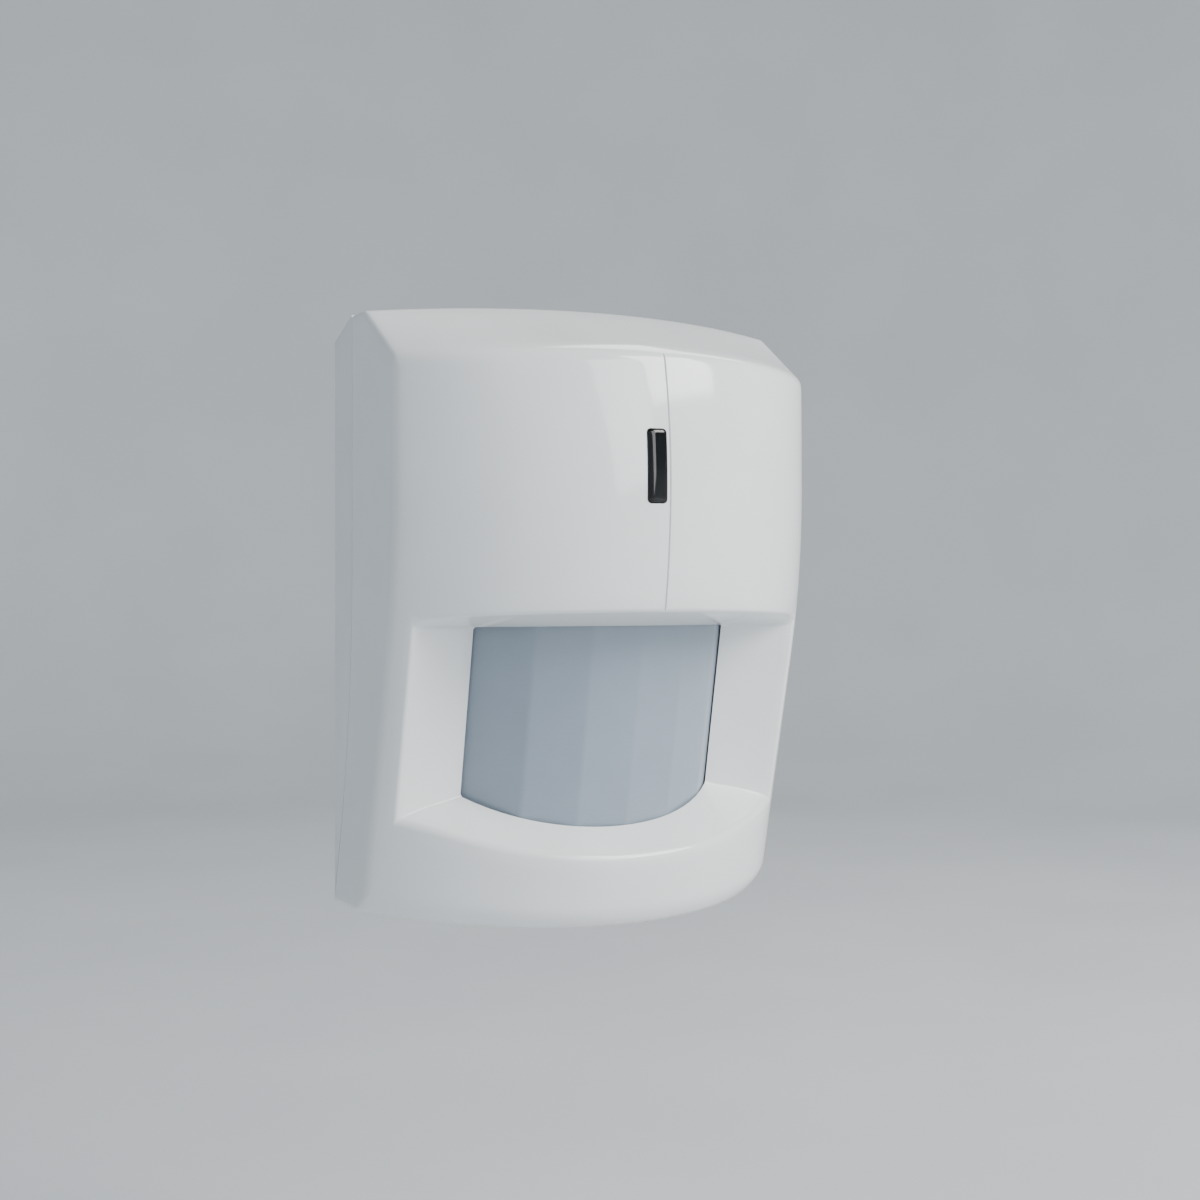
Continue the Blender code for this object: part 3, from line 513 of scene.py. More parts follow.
def loft(name, rings):
    """Extrude a filled loop from ring to ring, each a list of points in millimetres."""
    item = primitive("circle", name, vertices=len(rings[0]), radius=1.0, fill_type="NGON")
    item.data.attributes.new("step", "INT", "POINT")
    for vertex, point in zip(item.data.vertices, rings[0]):
        item.data.attributes["step"].data[vertex.index].value = vertex.index
        vertex.co = Vector(point) * MM
    with editing(item) as mesh:
        choose(item, mesh.faces, lambda face: True)
        for ring in rings[1:]:
            bpy.ops.mesh.extrude_region_move()
            mesh = bmesh.from_edit_mesh(item.data)
            step = mesh.verts.layers.int["step"]
            for vertex in mesh.verts:
                if vertex.select:
                    vertex.co = Vector(ring[vertex[step]]) * MM
            bmesh.update_edit_mesh(item.data)
        bpy.ops.mesh.select_all(action="SELECT")
        bpy.ops.mesh.normals_make_consistent(inside=False)
    return item


def prism(name, outline, low, high, matrix=None):
    """Extrude an (x, y) outline from one height to another, in a frame."""
    matrix = matrix or Matrix.Identity(4)
    return loft(name, [[matrix @ Vector((x, y, z)) for x, y in outline] for z in (low, high)])


def turned(name, profile, base, axis, segments=32):
    """Turn (radius, height) pairs about an axis through a base point."""
    axis = Vector(axis).normalized()
    side = Vector((0, 0, 1)) if abs(axis.z) < 0.9 else Vector((1, 0, 0))
    across = axis.cross(side).normalized()
    along = axis.cross(across)
    angles = [2 * math.pi * i / segments for i in range(segments)]
    return loft(name, [[Vector(base) + axis * height
                        + (across * math.cos(a) + along * math.sin(a)) * radius
                        for a in angles] for radius, height in profile])


def wire(name, points, radius, sides=8):
    """A round wire along points."""
    points = [Vector(p) for p in points]
    rings = []
    up = Vector((0, 0, 1))
    for i, point in enumerate(points):
        along = (points[min(i + 1, len(points) - 1)] - points[max(i - 1, 0)]).normalized()
        side = along.cross(up)
        side = side.normalized() if side.length > 0.05 else Vector((1, 0, 0))
        up = side.cross(along).normalized()
        angles = [2 * math.pi * k / sides for k in range(sides)]
        rings.append([point + (side * math.cos(a) + up * math.sin(a)) * radius for a in angles])
    return loft(name, rings)


# ------------------------------------------------------------ rear base

BASE_WALL = 2.2
FLOOR_HALF_WIDTH, FLOOR_SHARE = 33.6, 0.97
BACK_HALF_WIDTH, BACK_TOP, BACK_BOTTOM = 34.5, 49.0, -51.0
BEVEL_Y, BEVEL_HALF_WIDTH, BEVEL_TOP, BEVEL_BOTTOM = -9.0, 43.5, 52.7, -54.5
ACROSS = between(-1.0, 1.0, 36)
DOWN = between(0.0, 1.0, 44)
BOARD_FRONT, BOARD_BACK = -13.4, -11.8
POST_X, SCREW_POST_Z, PEG_POST_Z = 29.5, -33.0, 44.0
HOLE_HALF_HEIGHT = 4.5


def base_loop(top, right, bottom):
    """A closed loop of points from functions of the share along a side."""
    points = [top(t) for t in ACROSS] + [right(s) for s in DOWN[1:]]
    points += [bottom(t) for t in reversed(ACROSS[:-1])]
    return points + [(-x, y, z) for x, y, z in (right(s) for s in reversed(DOWN[1:-1]))]


def rim_loop():
    """The base's edge, one gap behind the cover's edge."""
    def top(t):
        x = t * side_x(PART_Y)
        return x, PART_Y + GAP, TOP_Z + crown(x, CROWN)

    def right(s):
        z = TOP_Z + s * (FOOT_Z - TOP_Z)
        y = part_y(z) + GAP
        return side_x(y), y, z

    def bottom(t):
        x = t * side_x(FOOT_PART_Y + GAP)
        return x, FOOT_PART_Y + GAP, FOOT_Z - crown(x, FOOT_CROWN)
    return base_loop(top, right, bottom)


def bevel_loop():
    """Where the straight sides meet the faces that fit a room corner."""
    low_y = FOOT_PART_Y + 1.2

    def top(t):
        x = t * BEVEL_HALF_WIDTH
        return x, BEVEL_Y, BEVEL_TOP + crown(x, 0.9)

    def right(s):
        z = BEVEL_TOP + s * (BEVEL_BOTTOM - BEVEL_TOP)
        y = max(BEVEL_Y, low_y if s == 1.0 else part_y(z) + 1.2)
        return BACK_HALF_WIDTH - y, y, z

    def bottom(t):
        x = t * (BACK_HALF_WIDTH - low_y)
        return x, low_y, BEVEL_BOTTOM - crown(x, 1.9)
    return base_loop(top, right, bottom)


def back_loop():
    """The outline of the flat wall face."""
    def level(z):
        return lambda t: (t * BACK_HALF_WIDTH, 0.0, z)

    def right(s):
        return BACK_HALF_WIDTH, 0.0, BACK_TOP + s * (BACK_BOTTOM - BACK_TOP)
    return base_loop(level(BACK_TOP), right, level(BACK_BOTTOM))


def drawn_in(loop, forward):
    """A loop drawn in by the wall's thickness and moved towards the front."""
    middle = (TOP_Z + FOOT_Z) / 2
    across = 1.0 - BASE_WALL / BEVEL_HALF_WIDTH
    down = 1.0 - 2.0 * BASE_WALL / (TOP_Z - FOOT_Z)
    return [(x * across, y - forward, middle + (z - middle) * down) for x, y, z in loop]


def base_tub():
    rim, bevel, back = rim_loop(), bevel_loop(), back_loop()
    corner = BASE_WALL * (math.sqrt(2.0) - 1.0)
    floor = [(x * FLOOR_HALF_WIDTH / BACK_HALF_WIDTH, -BASE_WALL, z * FLOOR_SHARE)
             for x, _y, z in back]
    return loft("base_shell", [back, bevel, rim, drawn_in(rim, 0.0),
                               drawn_in(bevel, corner), floor])


def locating_lip(sign):
    """A lip along one side that enters the cover."""
    rings = []
    for z in between(-42.0, 40.0, 24):
        rim = part_y(z) + GAP
        outline = [(39.8, rim - 2.2), (40.6, rim - 2.2), (41.0, rim - 1.8), (41.0, rim + 1.0),
                   (42.2, rim + 1.0), (42.2, rim + 2.5), (39.8, rim + 2.5)]
        rings.append([(sign * x, y, z) for x, y in outline])
    return loft("lip", rings)


def base_fittings():
    """Lips, board posts and the closing screw's boss."""
    tools = [locating_lip(-1), locating_lip(1)]
    for x in (-POST_X, POST_X):
        tools.append(turned("post", [(3.6, 0.0), (3.6, 1.6), (3.0, 2.4), (3.0, 10.2), (2.8, 10.5)],
                            (x, -1.0, SCREW_POST_Z), (0, -1, 0)))
        tools.append(turned("peg", [(3.0, 0.0), (3.0, 10.5), (1.4, 10.5), (1.4, 13.1), (1.1, 13.5)],
                            (x, -1.0, PEG_POST_Z), (0, -1, 0)))
    tools.append(box("boss", (-4.5, -16.0, -52.5), (4.5, -1.2, -43.0)))
    return tools


def base_holes():
    """Pilot holes, two slots for wall screws, the cable entry and knock-outs."""
    tools = [rod("post_hole", (x, -4.0, SCREW_POST_Z), (x, -15.0, SCREW_POST_Z), 1.7)
             for x in (-POST_X, POST_X)]
    tools.append(rod("boss_hole", (0, SCREW_Y, -56.0), (0, SCREW_Y, -45.0), 1.8))
    for half_x, z, radius in ((2.5, 34.0, 2.4), (8.0, 14.0, 1.5), (2.5, -30.0, 2.4)):
        hole = box("hole", (-half_x, -3.0, z - HOLE_HALF_HEIGHT),
                   (half_x, 1.0, z + HOLE_HALF_HEIGHT))
        round_along_depth(hole, radius, 8)
        tools.append(hole)
    for sign in (-1, 1):
        out = Vector((sign, 1, 0)).normalized()
        for z in (-30.0, 30.0):
            middle = Vector((sign * 39.0, -4.5, z))
            tools.append(rod("knock_out", middle - out * 1.2, middle + out * 2.0, 2.5))
    return tools


class SENSOR_OT_base(bpy.types.Operator):
    """Build the rear base with its posts, lips and wall holes"""
    bl_idname = "sensor.base"
    bl_label = "Rear base"

    def execute(self, context):
        item = base_tub()
        round_edges(item, 0.5, 3, 32.0)
        for tool in base_fittings():
            combine(item, tool, "UNION")
        for tool in base_holes():
            combine(item, tool, "DIFFERENCE")
        settle(item, "base", "moulded_abs_textured", ["rear_base"])
        return {"FINISHED"}


# ------------------------------------------------------------ front cover

SIDE_SHARES = (0.0, 0.28, 0.52, 0.76, 1.0)     # from the front edge to the parting line
SIDES = len(SIDE_SHARES) - 1
OUTER_COLUMNS = (26.3, 28.3, 30.5, 33.0, 35.5, 38.0, RECESS_HALF_WIDTH, 41.3, EDGE)
EVEN_COLUMNS = [2.2 * i for i in range(3, 12)]


def column_places():
    """Places across the front, closer together at the indicator and the seam."""
    left = [-x for x in reversed(EVEN_COLUMNS + list(OUTER_COLUMNS))]
    slot = [SLOT_LEFT, SLOT_LEFT + SLOT_CORNER, -2.2, SLOT_RIGHT - SLOT_CORNER, SLOT_RIGHT]
    return left + slot + list(SEAM) + [2.2, 4.4] + EVEN_COLUMNS + list(OUTER_COLUMNS)


def top_z(x):
    return TOP_Z + crown(x, CROWN)


def top_y(x):
    return TOP_Y - bulge(x, EDGE, TOP_BOW)


def brow_z(x):
    return BROW_Z + crown(x, CROWN)


def chin_z(x):
    return CHIN_Z - crown(x, CHIN_CROWN)


def foot_z(x):
    return FOOT_Z - crown(x, FOOT_CROWN)


def foot_y(x):
    return FOOT_Y - bulge(x, EDGE, FOOT_BOW)


def visor_z(x):
    inner = min(abs(x), RECESS_HALF_WIDTH)
    return VISOR_CROWN * (1.0 - (inner / RECESS_HALF_WIDTH) ** 2)


def ledge_drop(x):
    """How far the ledge falls away at its ends."""
    past = max(0.0, min(abs(x), RECESS_HALF_WIDTH) - LEDGE_FALL_START)
    return LEDGE_FALL * (past / (RECESS_HALF_WIDTH - LEDGE_FALL_START)) ** 2


def ledge_front_z(x):
    inner = min(abs(x), RECESS_HALF_WIDTH)
    return meet(inner, front_y, LEDGE_Z, LEDGE_SLOPE)[1] - ledge_drop(x)


def inner_y(x, z):
    """The recess: on the lens in the opening, else on the cheeks or the front."""
    if abs(x) < OPENING_HALF_WIDTH:
        return lens_y(x, z)
    return recess_y(x, z) if abs(x) < RECESS_HALF_WIDTH else front_y(x, z)


def visor_back_z(x):
    """The visor's underside ends almost level, a little higher at the lens."""
    share = min(1.0, abs(x) / OPENING_HALF_WIDTH)
    return VISOR_ARCH * (1.0 - share ** 2) - VISOR_DROP


def ledge_back_z(x):
    """The ledge's back edge, drawn up beside the lens opening."""
    if abs(x) >= RECESS_HALF_WIDTH:
        return ledge_front_z(x)
    level = meet(x, inner_y, LEDGE_Z, LEDGE_SLOPE)[1]
    share = abs(x) / OPENING_HALF_WIDTH
    if share > 1.0:
        share = (RECESS_HALF_WIDTH - abs(x)) / (RECESS_HALF_WIDTH - OPENING_HALF_WIDTH)
    return level + LEDGE_LIFT * share ** 4 - ledge_drop(x)


def ruled(first, last, share):
    """A row part of the way between two others, each a pair of functions."""
    def height(x):
        return first[0](x) + share * (last[0](x) - first[0](x))

    def depth(x, _z):
        near, far = (row[1](x, row[0](x)) for row in (first, last))
        return near + share * (far - near)
    return height, depth


def facing(upper, lower, shares, depth):
    """Rows at shares of the way between two heights, on a surface."""
    return [(lambda x, s=s: upper(x) + s * (lower(x) - upper(x)), depth) for s in shares]


def cover_rows():
    """Rows from the back of the top, down the front, to the back of the
    bottom, each a height and a depth, and the numbers of the named rows."""
    top = (top_z, lambda x, _z: top_y(x))
    top_back = (top_z, lambda x, _z: PART_Y)
    brow = (brow_z, front_y)
    foot = (foot_z, lambda x, _z: foot_y(x))
    foot_back = (foot_z, lambda x, _z: FOOT_PART_Y)
    chin = (chin_z, front_y)
    rows = [ruled(top, top_back, share) for share in reversed(SIDE_SHARES[1:])]
    marks = {"top": len(rows)}
    rows += [top] + [ruled(top, brow, share) for share in (0.2, 0.5, 0.8)]
    marks["brow"] = len(rows)
    rows += [brow] + facing(brow_z, lambda x: SLOT_HIGH, (0.18, 0.45, 0.72), front_y)
    marks["slot"] = len(rows)
    for z in (SLOT_HIGH, SLOT_HIGH - SLOT_CORNER, 31.0, 28.5, 26.0, 23.5,
              SLOT_LOW + SLOT_CORNER, SLOT_LOW):
        rows.append((lambda x, z=z: z, front_y))
    marks["slot_end"] = len(rows) - 1
    rows += facing(lambda x: SLOT_LOW, visor_z, (0.14, 0.28, 0.42, 0.56, 0.7, 0.85), front_y)
    marks["lip"] = len(rows)
    rows += [(visor_z, front_y)]
    marks["visor"] = len(rows)
    rows += [(visor_back_z, inner_y)]
    rows += facing(visor_back_z, ledge_back_z, between(0.0, 1.0, 10)[1:-1], inner_y)
    marks["ledge"] = len(rows)
    rows += [(ledge_back_z, inner_y)]
    marks["ledge_edge"] = len(rows)
    rows += [(ledge_front_z, front_y)]
    rows += facing(ledge_front_z, chin_z, (0.28, 0.52, 0.76), front_y)
    marks["chin"] = len(rows)
    rows += [chin, ruled(chin, foot, 0.5)]
    marks["foot"] = len(rows)
    rows += [foot] + [ruled(foot, foot_back, share) for share in SIDE_SHARES[1:]]
    return rows, marks


def cover_place(row, column, places):
    """Where a corner of the cover's grid lies."""
    height, depth = row
    first, last = SIDES, SIDES + len(places) - 1
    x = places[min(max(column, first), last) - first]
    z = height(x)
    y = depth(x, z)
    if abs(x) == EDGE:
        share = SIDE_SHARES[max(first - column, column - last, 0)]
        y += share * (part_y(z) - y)
        x = math.copysign(side_x(y), x)
    return Vector((x, y, z)) * MM


def bevel_share(first, second, places, marks):
    """How round an edge of the grid is, as a share of the biggest bevel."""
    (row, column), (row_2, column_2) = sorted((first, second))
    left, right = SIDES, SIDES + len(places) - 1
    if row == row_2:
        if column < left or column_2 > right:
            return 0.6 if row in (marks["top"], marks["foot"]) else 0.0
        x = abs(places[column - left] + places[column_2 - left]) / 2
        across = {marks["top"]: 0.8, marks["brow"]: 1.0, marks["chin"]: 1.0,
                  marks["foot"]: 0.8}.get(row, 0.0)
        if x < RECESS_HALF_WIDTH:
            across = {marks["lip"]: 0.5, marks["ledge_edge"]: 0.9}.get(row, across)
            if x > OPENING_HALF_WIDTH and row in (marks["visor"], marks["ledge"]):
                across = 0.3
        return across
    if column in (left, right):
        hip = not marks["brow"] <= row < marks["chin"]
        return 0.6 if hip else 1.0
    ridge = left <= column <= right and abs(places[column - left]) == RECESS_HALF_WIDTH
    if ridge and marks["lip"] <= row < marks["ledge"]:
        return 0.38
    return 0.0


def is_opening(cell, places, marks):
    """Whether a cell of the grid is left out: corners, lens and indicator."""
    row, column = cell
    left, right = SIDES, SIDES + len(places) - 1
    if column < left or column >= right:
        return row < marks["top"] or row >= marks["foot"]
    x = (places[column - left] + places[column + 1 - left]) / 2
    if marks["visor"] <= row < marks["ledge"]:
        return abs(x) < OPENING_HALF_WIDTH
    return marks["slot"] <= row < marks["slot_end"] and SLOT_LEFT < x < SLOT_RIGHT


def cover_skin():
    """The cover's outer skin: a grid laid over the housing's surfaces."""
    places = column_places()
    rows, marks = cover_rows()
    columns = len(places) - 1 + 2 * SIDES
    item = primitive("grid", "cover_shell", x_subdivisions=columns,
                     y_subdivisions=len(rows) - 1, size=1.0)
    mesh = item.data
    spots = [(round((0.5 - v.co.y) * (len(rows) - 1)), round((v.co.x + 0.5) * columns))
             for v in mesh.vertices]
    weights = mesh.attributes.new("bevel_weight_edge", "FLOAT", "EDGE")
    for edge in mesh.edges:
        first, second = (spots[i] for i in edge.vertices)
        weights.data[edge.index].value = bevel_share(first, second, places, marks)
    for vertex, (row, column) in zip(mesh.vertices, spots):
        vertex.co = cover_place(rows[row], column, places)
    nudge = (1.0 - math.sqrt(0.5)) * SLOT_CORNER * MM
    for vertex, (row, column) in zip(mesh.vertices, spots):
        inner = 0 <= column - SIDES < len(places)
        x = places[column - SIDES] if inner else EDGE
        if row in (marks["slot"], marks["slot_end"]) and x in (SLOT_LEFT, SLOT_RIGHT):
            vertex.co.x += nudge if x == SLOT_LEFT else -nudge
            vertex.co.z += nudge if row == marks["slot_end"] else -nudge
    with editing(item) as edit:
        choose(item, edit.faces, lambda face: is_opening(
            (min(spots[v.index][0] for v in face.verts),
             min(spots[v.index][1] for v in face.verts)), places, marks))
        bpy.ops.mesh.delete(type="FACE")
        bpy.ops.mesh.select_all(action="SELECT")
        bpy.ops.mesh.remove_doubles(threshold=0.02 * MM)
    return item


def clear_lens_passage(item):
    """Move the wall's inner corners off the lens's path, away from its centre."""
    inverse = LENS_FRAME.inverted()
    for vertex in item.data.vertices:
        local = inverse @ (vertex.co / MM)
        off = Vector((local.x, local.y - LENS_CENTRE))
        inside = off.length < LENS_RADIUS + 0.28 and off.y < -16.0
        if inside and -10.0 < local.z < 40.0:
            off *= (LENS_RADIUS + 0.3) / off.length
            local.x, local.y = off.x, off.y + LENS_CENTRE
            vertex.co = (LENS_FRAME @ local) * MM


def press_seam(item, depth):
    """Sink the fine line that runs down the front, to a depth in metres."""
    for vertex in item.data.vertices:
        x, y, z = vertex.co / MM
        in_line = SEAM[0] + 0.02 < x < SEAM[3] - 0.02 and SEAM_LOW < z < SEAM_HIGH
        if in_line and y < front_y(0.0, z) + 0.5:
            vertex.co.y += depth


def hook(middle):
    """A hook that hangs the cover in the mouth of the base."""
    outline = [(-21.5, 50.9), (-15.0, 50.9), (-15.0, 52.6), (-19.4, 52.6),
               (-19.4, 56.8), (-21.5, 56.8)]
    return loft("hook", [[(x, y, z) for y, z in outline] for x in (middle - 4.0, middle + 4.0)])


def plus_outline(arm, web):
    """The outline of a plus sign round the origin."""
    points = []
    for turn in range(4):
        c, s = math.cos(turn * math.pi / 2), math.sin(turn * math.pi / 2)
        points += [(a * c - b * s, a * s + b * c) for a, b in ((arm, web), (web, web), (web, arm))]
    return points


def tamper_post(wall):
    """The cross-shaped post that holds the tamper switch down."""
    places = [(TAMPER_X + x, SWITCH_Z + z) for x, z in plus_outline(3.0, 0.7)]
    return loft("post", [[(x, front_y(x, z) + wall * 0.6, z) for x, z in places],
                         [(x, PLUNGER_TIP - GAP, z) for x, z in places]])


def screw_slot(half, low, high):
    """A slot round the closing screw that is open towards the base."""
    arc = [math.pi * (1.0 + i / 16.0) for i in range(17)]
    outline = [(half * math.cos(a), SCREW_Y + half * math.sin(a)) for a in arc]
    return prism("slot", outline + [(half, -7.0), (-half, -7.0)], low, high)


class SENSOR_OT_cover(bpy.types.Operator):
    """Build the front cover with its recess, visor, seam and hooks"""
    bl_idname = "sensor.cover"
    bl_label = "Front cover"

    def execute(self, context):
        choice = context.scene.sensor
        item = cover_skin()
        apply_modifier(item, "BEVEL", width=choice.edge_radius, segments=3,
                       limit_method="WEIGHT", use_clamp_overlap=False, offset_type="OFFSET")
        apply_modifier(item, "SOLIDIFY", thickness=choice.wall, offset=-1.0, use_even_offset=True)
        clear_lens_passage(item)
        press_seam(item, choice.seam_depth)
        added = [hook(-22.0), hook(22.0), tamper_post(choice.wall / MM),
                 box("pad", (-5.5, -17.0, -55.9), (5.5, -9.3, -53.2))]
        added += [box("rib", (left, -61.6, 20.6), (left + 1.0, -50.0, 33.4))
                  for left in (-5.4, 0.1)]
        for tool in added:
            combine(item, tool, "UNION")
        for tool in (screw_slot(3.3, -60.0, -55.4), screw_slot(1.9, -60.0, -52.0)):
            combine(item, tool, "DIFFERENCE")
        settle(item, "cover", "moulded_abs_gloss", ["front_cover"])
        return {"FINISHED"}


# ------------------------------------------------------------ lens and indicator

LENS_SHEET, LENS_REACH, LENS_LOW, LENS_HIGH = 0.8, 28.5, -6.5, 36.3
FACET_EDGES = (-28.5, -17.0, -7.0, 3.0, 13.0, 23.0, 28.5)


def arc_y(x, radius):
    return LENS_CENTRE - math.sqrt(radius ** 2 - x ** 2)


def faceted_y(x, radius, flatness):
    """The lens arc, part flattened between its facets' edges."""
    for left, right in zip(FACET_EDGES, FACET_EDGES[1:]):
        if left <= x <= right:
            share = (x - left) / (right - left)
            flat = arc_y(left, radius) + share * (arc_y(right, radius) - arc_y(left, radius))
            return arc_y(x, radius) + flatness * (flat - arc_y(x, radius))
    return arc_y(x, radius)


def lens_sheet(flatness):
    outside = LENS_RADIUS + 0.15
    across = sorted(set(between(-LENS_REACH, LENS_REACH, 57) + list(FACET_EDGES)))
    outer = [(x, faceted_y(x, outside, flatness)) for x in across]
    inner = [(x, faceted_y(x, outside - LENS_SHEET, flatness)) for x in across]
    heights = between(LENS_LOW, LENS_HIGH, 8)
    return loft("lens_sheet", [[LENS_FRAME @ Vector((x, y, z)) for x, y in outer + inner[::-1]]
                               for z in heights])


def clip_frame():
    """The frame that presses the lens sheet against the cover."""
    across = between(-28.0, 28.0, 48)
    outline = [(x, arc_y(x, 34.0)) for x in across]
    outline += [(x, arc_y(x, 32.6)) for x in reversed(across)]
    item = prism("clip_frame", outline, -5.0, 35.0, LENS_FRAME)
    for left in (27.2, -34.0):
        for low in (0.0, 24.0):
            ear = [(left, 5.0), (left + 6.8, 5.0), (left + 6.8, 6.4), (left, 6.4)]
            combine(item, prism("ear", ear, low, low + 6.0, LENS_FRAME), "UNION")
    window = [(-23.0, -20.0), (23.0, -20.0), (23.0, 20.0), (-23.0, 20.0)]
    combine(item, prism("window", window, 2.0, 28.0, LENS_FRAME), "DIFFERENCE")
    round_edges(item, 0.15, 2, 50.0)
    return item


WINDOW_X, WINDOW_HALF, WINDOW_LOW, WINDOW_HIGH = -2.2, 1.9, 20.4, 33.45
WINDOW_CORNER = 0.7
# The window's section from right to left: share of its half width, and height
WINDOW_SECTION = ((1.0, 0.02), (0.96, 0.10), (0.88, 0.16), (0.6, 0.25), (0.3, 0.345),
                  (0.0, 0.44), (-0.2, 0.48), (-0.35, 0.47), (-0.5, 0.43), (-0.7, 0.33),
                  (-0.88, 0.22), (-0.96, 0.13), (-1.0, 0.02))


def window_ring(z):
    """A slice of the black window, ridged and rounded off at its corners."""
    off = max(0.0, WINDOW_CORNER - min(z - WINDOW_LOW, WINDOW_HIGH - z))
    lift = math.sqrt(max(0.0, 1.0 - (off / WINDOW_CORNER) ** 2))
    half = WINDOW_HALF - WINDOW_CORNER * (1.0 - lift)
    ring = [(WINDOW_X - half, -60.2, z), (WINDOW_X + half, -60.2, z)]
    for share, height in WINDOW_SECTION:
        ring.append((WINDOW_X + share * half, front_y(WINDOW_X, z) - height * lift, z))
    return ring


def led_window():
    ends = (0.0, 0.08, 0.22, 0.42, 0.7, 1.3)
    heights = [WINDOW_LOW + e for e in ends] + between(22.5, 31.5, 6)
    heights += [WINDOW_HIGH - e for e in reversed(ends)]
    return loft("indicator_window", [window_ring(z) for z in heights])


class SENSOR_OT_lens(bpy.types.Operator):
    """Build the Fresnel lens and the frame that holds it"""
    bl_idname = "sensor.lens"
    bl_label = "Lens"

    def execute(self, context):
        sheet = lens_sheet(context.scene.sensor.facet_flatness)
        settle(sheet, "cover", "polyethylene_lens_film", ["fresnel_lens"], 40.0)
        settle(clip_frame(), "cover", "black_nylon", ["lens_frame"])
        return {"FINISHED"}


class SENSOR_OT_indicator(bpy.types.Operator):
    """Build the indicator's window and its light guide"""
    bl_idname = "sensor.indicator"
    bl_label = "Indicator"

    def execute(self, context):
        settle(led_window(), "cover", "tinted_acrylic", ["led_window"], 60.0)
        guide = box("guide", (-4.0, -59.8, 20.8), (-0.4, -16.6, 26.2))
        round_edges(guide, 0.5, 4)
        settle(guide, "cover", "clear_acrylic", ["light_guide"])
        return {"FINISHED"}


# ------------------------------------------------------------ inside the housing

FORWARD = (0, -1, 0)
THREAD_STEPS, THREAD_RIDGE = 20, 0.16


def on_board(name, centre, size, rounding=0.2):
    """A rounded block on the front of the board: its (x, z) and its size."""
    (x, z), (width, height, depth) = centre, size
    item = box(name, (x - width / 2, SEAT - depth, z - height / 2),
               (x + width / 2, SEAT, z + height / 2))
    round_edges(item, rounding)
    return item


def board_shape():
    """The board, with its upper corners cut away and four fixing holes."""
    item = box("board", (-33.5, BOARD_FRONT, -38.0), (33.5, BOARD_BACK, 49.5))
    round_along_depth(item, 4.0, 1, low=40.0)
    for x in (-POST_X, POST_X):
        for z in (SCREW_POST_Z, PEG_POST_Z):
            combine(item, rod("hole", (x, -20.0, z), (x, -5.0, z), 1.8), "DIFFERENCE")
    round_edges(item, 0.12, 2)
    return item


SMALL_PARTS = (
    # x, z, turned upright
    (-24, -8, 0), (-24, -12, 1), (-18, -2, 0), (-14, -2, 0), (-10, -6, 1), (-12, -14, 0),
    (-16, -20, 1), (-11, -24, 0), (-6, -26, 0), (6, -26, 1), (10, -22, 0), (10, -8, 1),
    (8, 2, 0), (3, 4, 0), (-3, 4, 1), (-24, 2, 0), (-8, 20, 0), (-12, 22, 1),
    (6, 16, 0), (8, 20, 1), (20, 2, 0), (26, 4, 0), (22, 22, 1), (-20, 24, 0),
)


def small_parts():
    """Surface-mounted resistors and capacitors, and their tinned ends."""
    bodies, ends = [], []
    for x, z, upright in SMALL_PARTS:
        turn = -1 if upright else 1
        bodies.append(on_board("part", (x, z), (*(1.2, 1.25)[::turn], 0.55), rounding=0.05))
        for side in (-0.75, 0.75):
            shift = (side, 0.0)[::turn]
            ends.append(on_board("end", (x + shift[0], z + shift[1]),
                                 (*(0.4, 1.27)[::turn], 0.6), rounding=0.08))
    return join(*bodies), join(*ends)


def thread(base, axis, radius, start, length, pitch):
    """A helical ridge round a shank."""
    base, axis, side = Vector(base), Vector(axis), Vector((1, 0, 0))
    other = axis.cross(side)
    points = []
    for i in range(int(length / pitch * THREAD_STEPS) + 1):
        angle = 2 * math.pi * i / THREAD_STEPS
        points.append(base + axis * (start + pitch * i / THREAD_STEPS)
                      + (side * math.cos(angle) + other * math.sin(angle)) * radius)
    return wire("ridge", points, THREAD_RIDGE, 4)


def board_screw(x):
    """A pan-head screw with a cross recess, its head towards the front."""
    back = BOARD_BACK + 6.5
    head = turned("board_screw", [(1.1, 0.0), (1.25, 0.4), (1.25, 8.4), (2.8, 8.4), (2.8, 8.9),
                                  (2.6, 9.5), (2.1, 10.0), (1.2, 10.2)],
                  (x, back, SCREW_POST_Z), FORWARD)
    cross = [(x + a, SCREW_POST_Z + b) for a, b in plus_outline(1.5, 0.35)]
    combine(head, loft("cross", [[(a, y, b) for a, b in cross] for y in (-20.0, -14.6)]),
            "DIFFERENCE")
    ridge = thread((x, back, SCREW_POST_Z), FORWARD, 1.25, 0.5, 6.6, 0.9)
    return join(head, ridge)


class SENSOR_OT_board(bpy.types.Operator):
    """Build the circuit board, its fixing screws and its small parts"""
    bl_idname = "sensor.board"
    bl_label = "Circuit board"

    def execute(self, context):
        settle(board_shape(), "base", "solder_mask", ["circuit_board"])
        bodies, ends = small_parts()
        bodies.name, ends.name = "small_part_bodies", "small_part_ends"
        settle(bodies, "base", "sintered_ceramic")
        settle(ends, "base", "tinned_copper")
        for side, x in (("left", -POST_X), ("right", POST_X)):
            screw = board_screw(x)
            screw.name = "fixing_screw_" + side
            settle(screw, "base", "zinc_plated_steel", ["board_screw_" + side])
        return {"FINISHED"}


def sensor_can():
    """A flanged metal can with a rectangular opening in its top."""
    can = turned("heat_sensor_can", [(4.55, 0.0), (4.55, 0.55), (4.4, 0.7), (4.1, 0.7),
                                     (4.1, 3.9), (4.0, 4.1), (3.8, 4.2)],
                 (0, SEAT, PYRO_Z), FORWARD, 64)
    combine(can, box("opening", (-2.1, -20.0, PYRO_Z - 1.8), (2.1, -17.2, PYRO_Z + 1.8)),
            "DIFFERENCE")
    return can


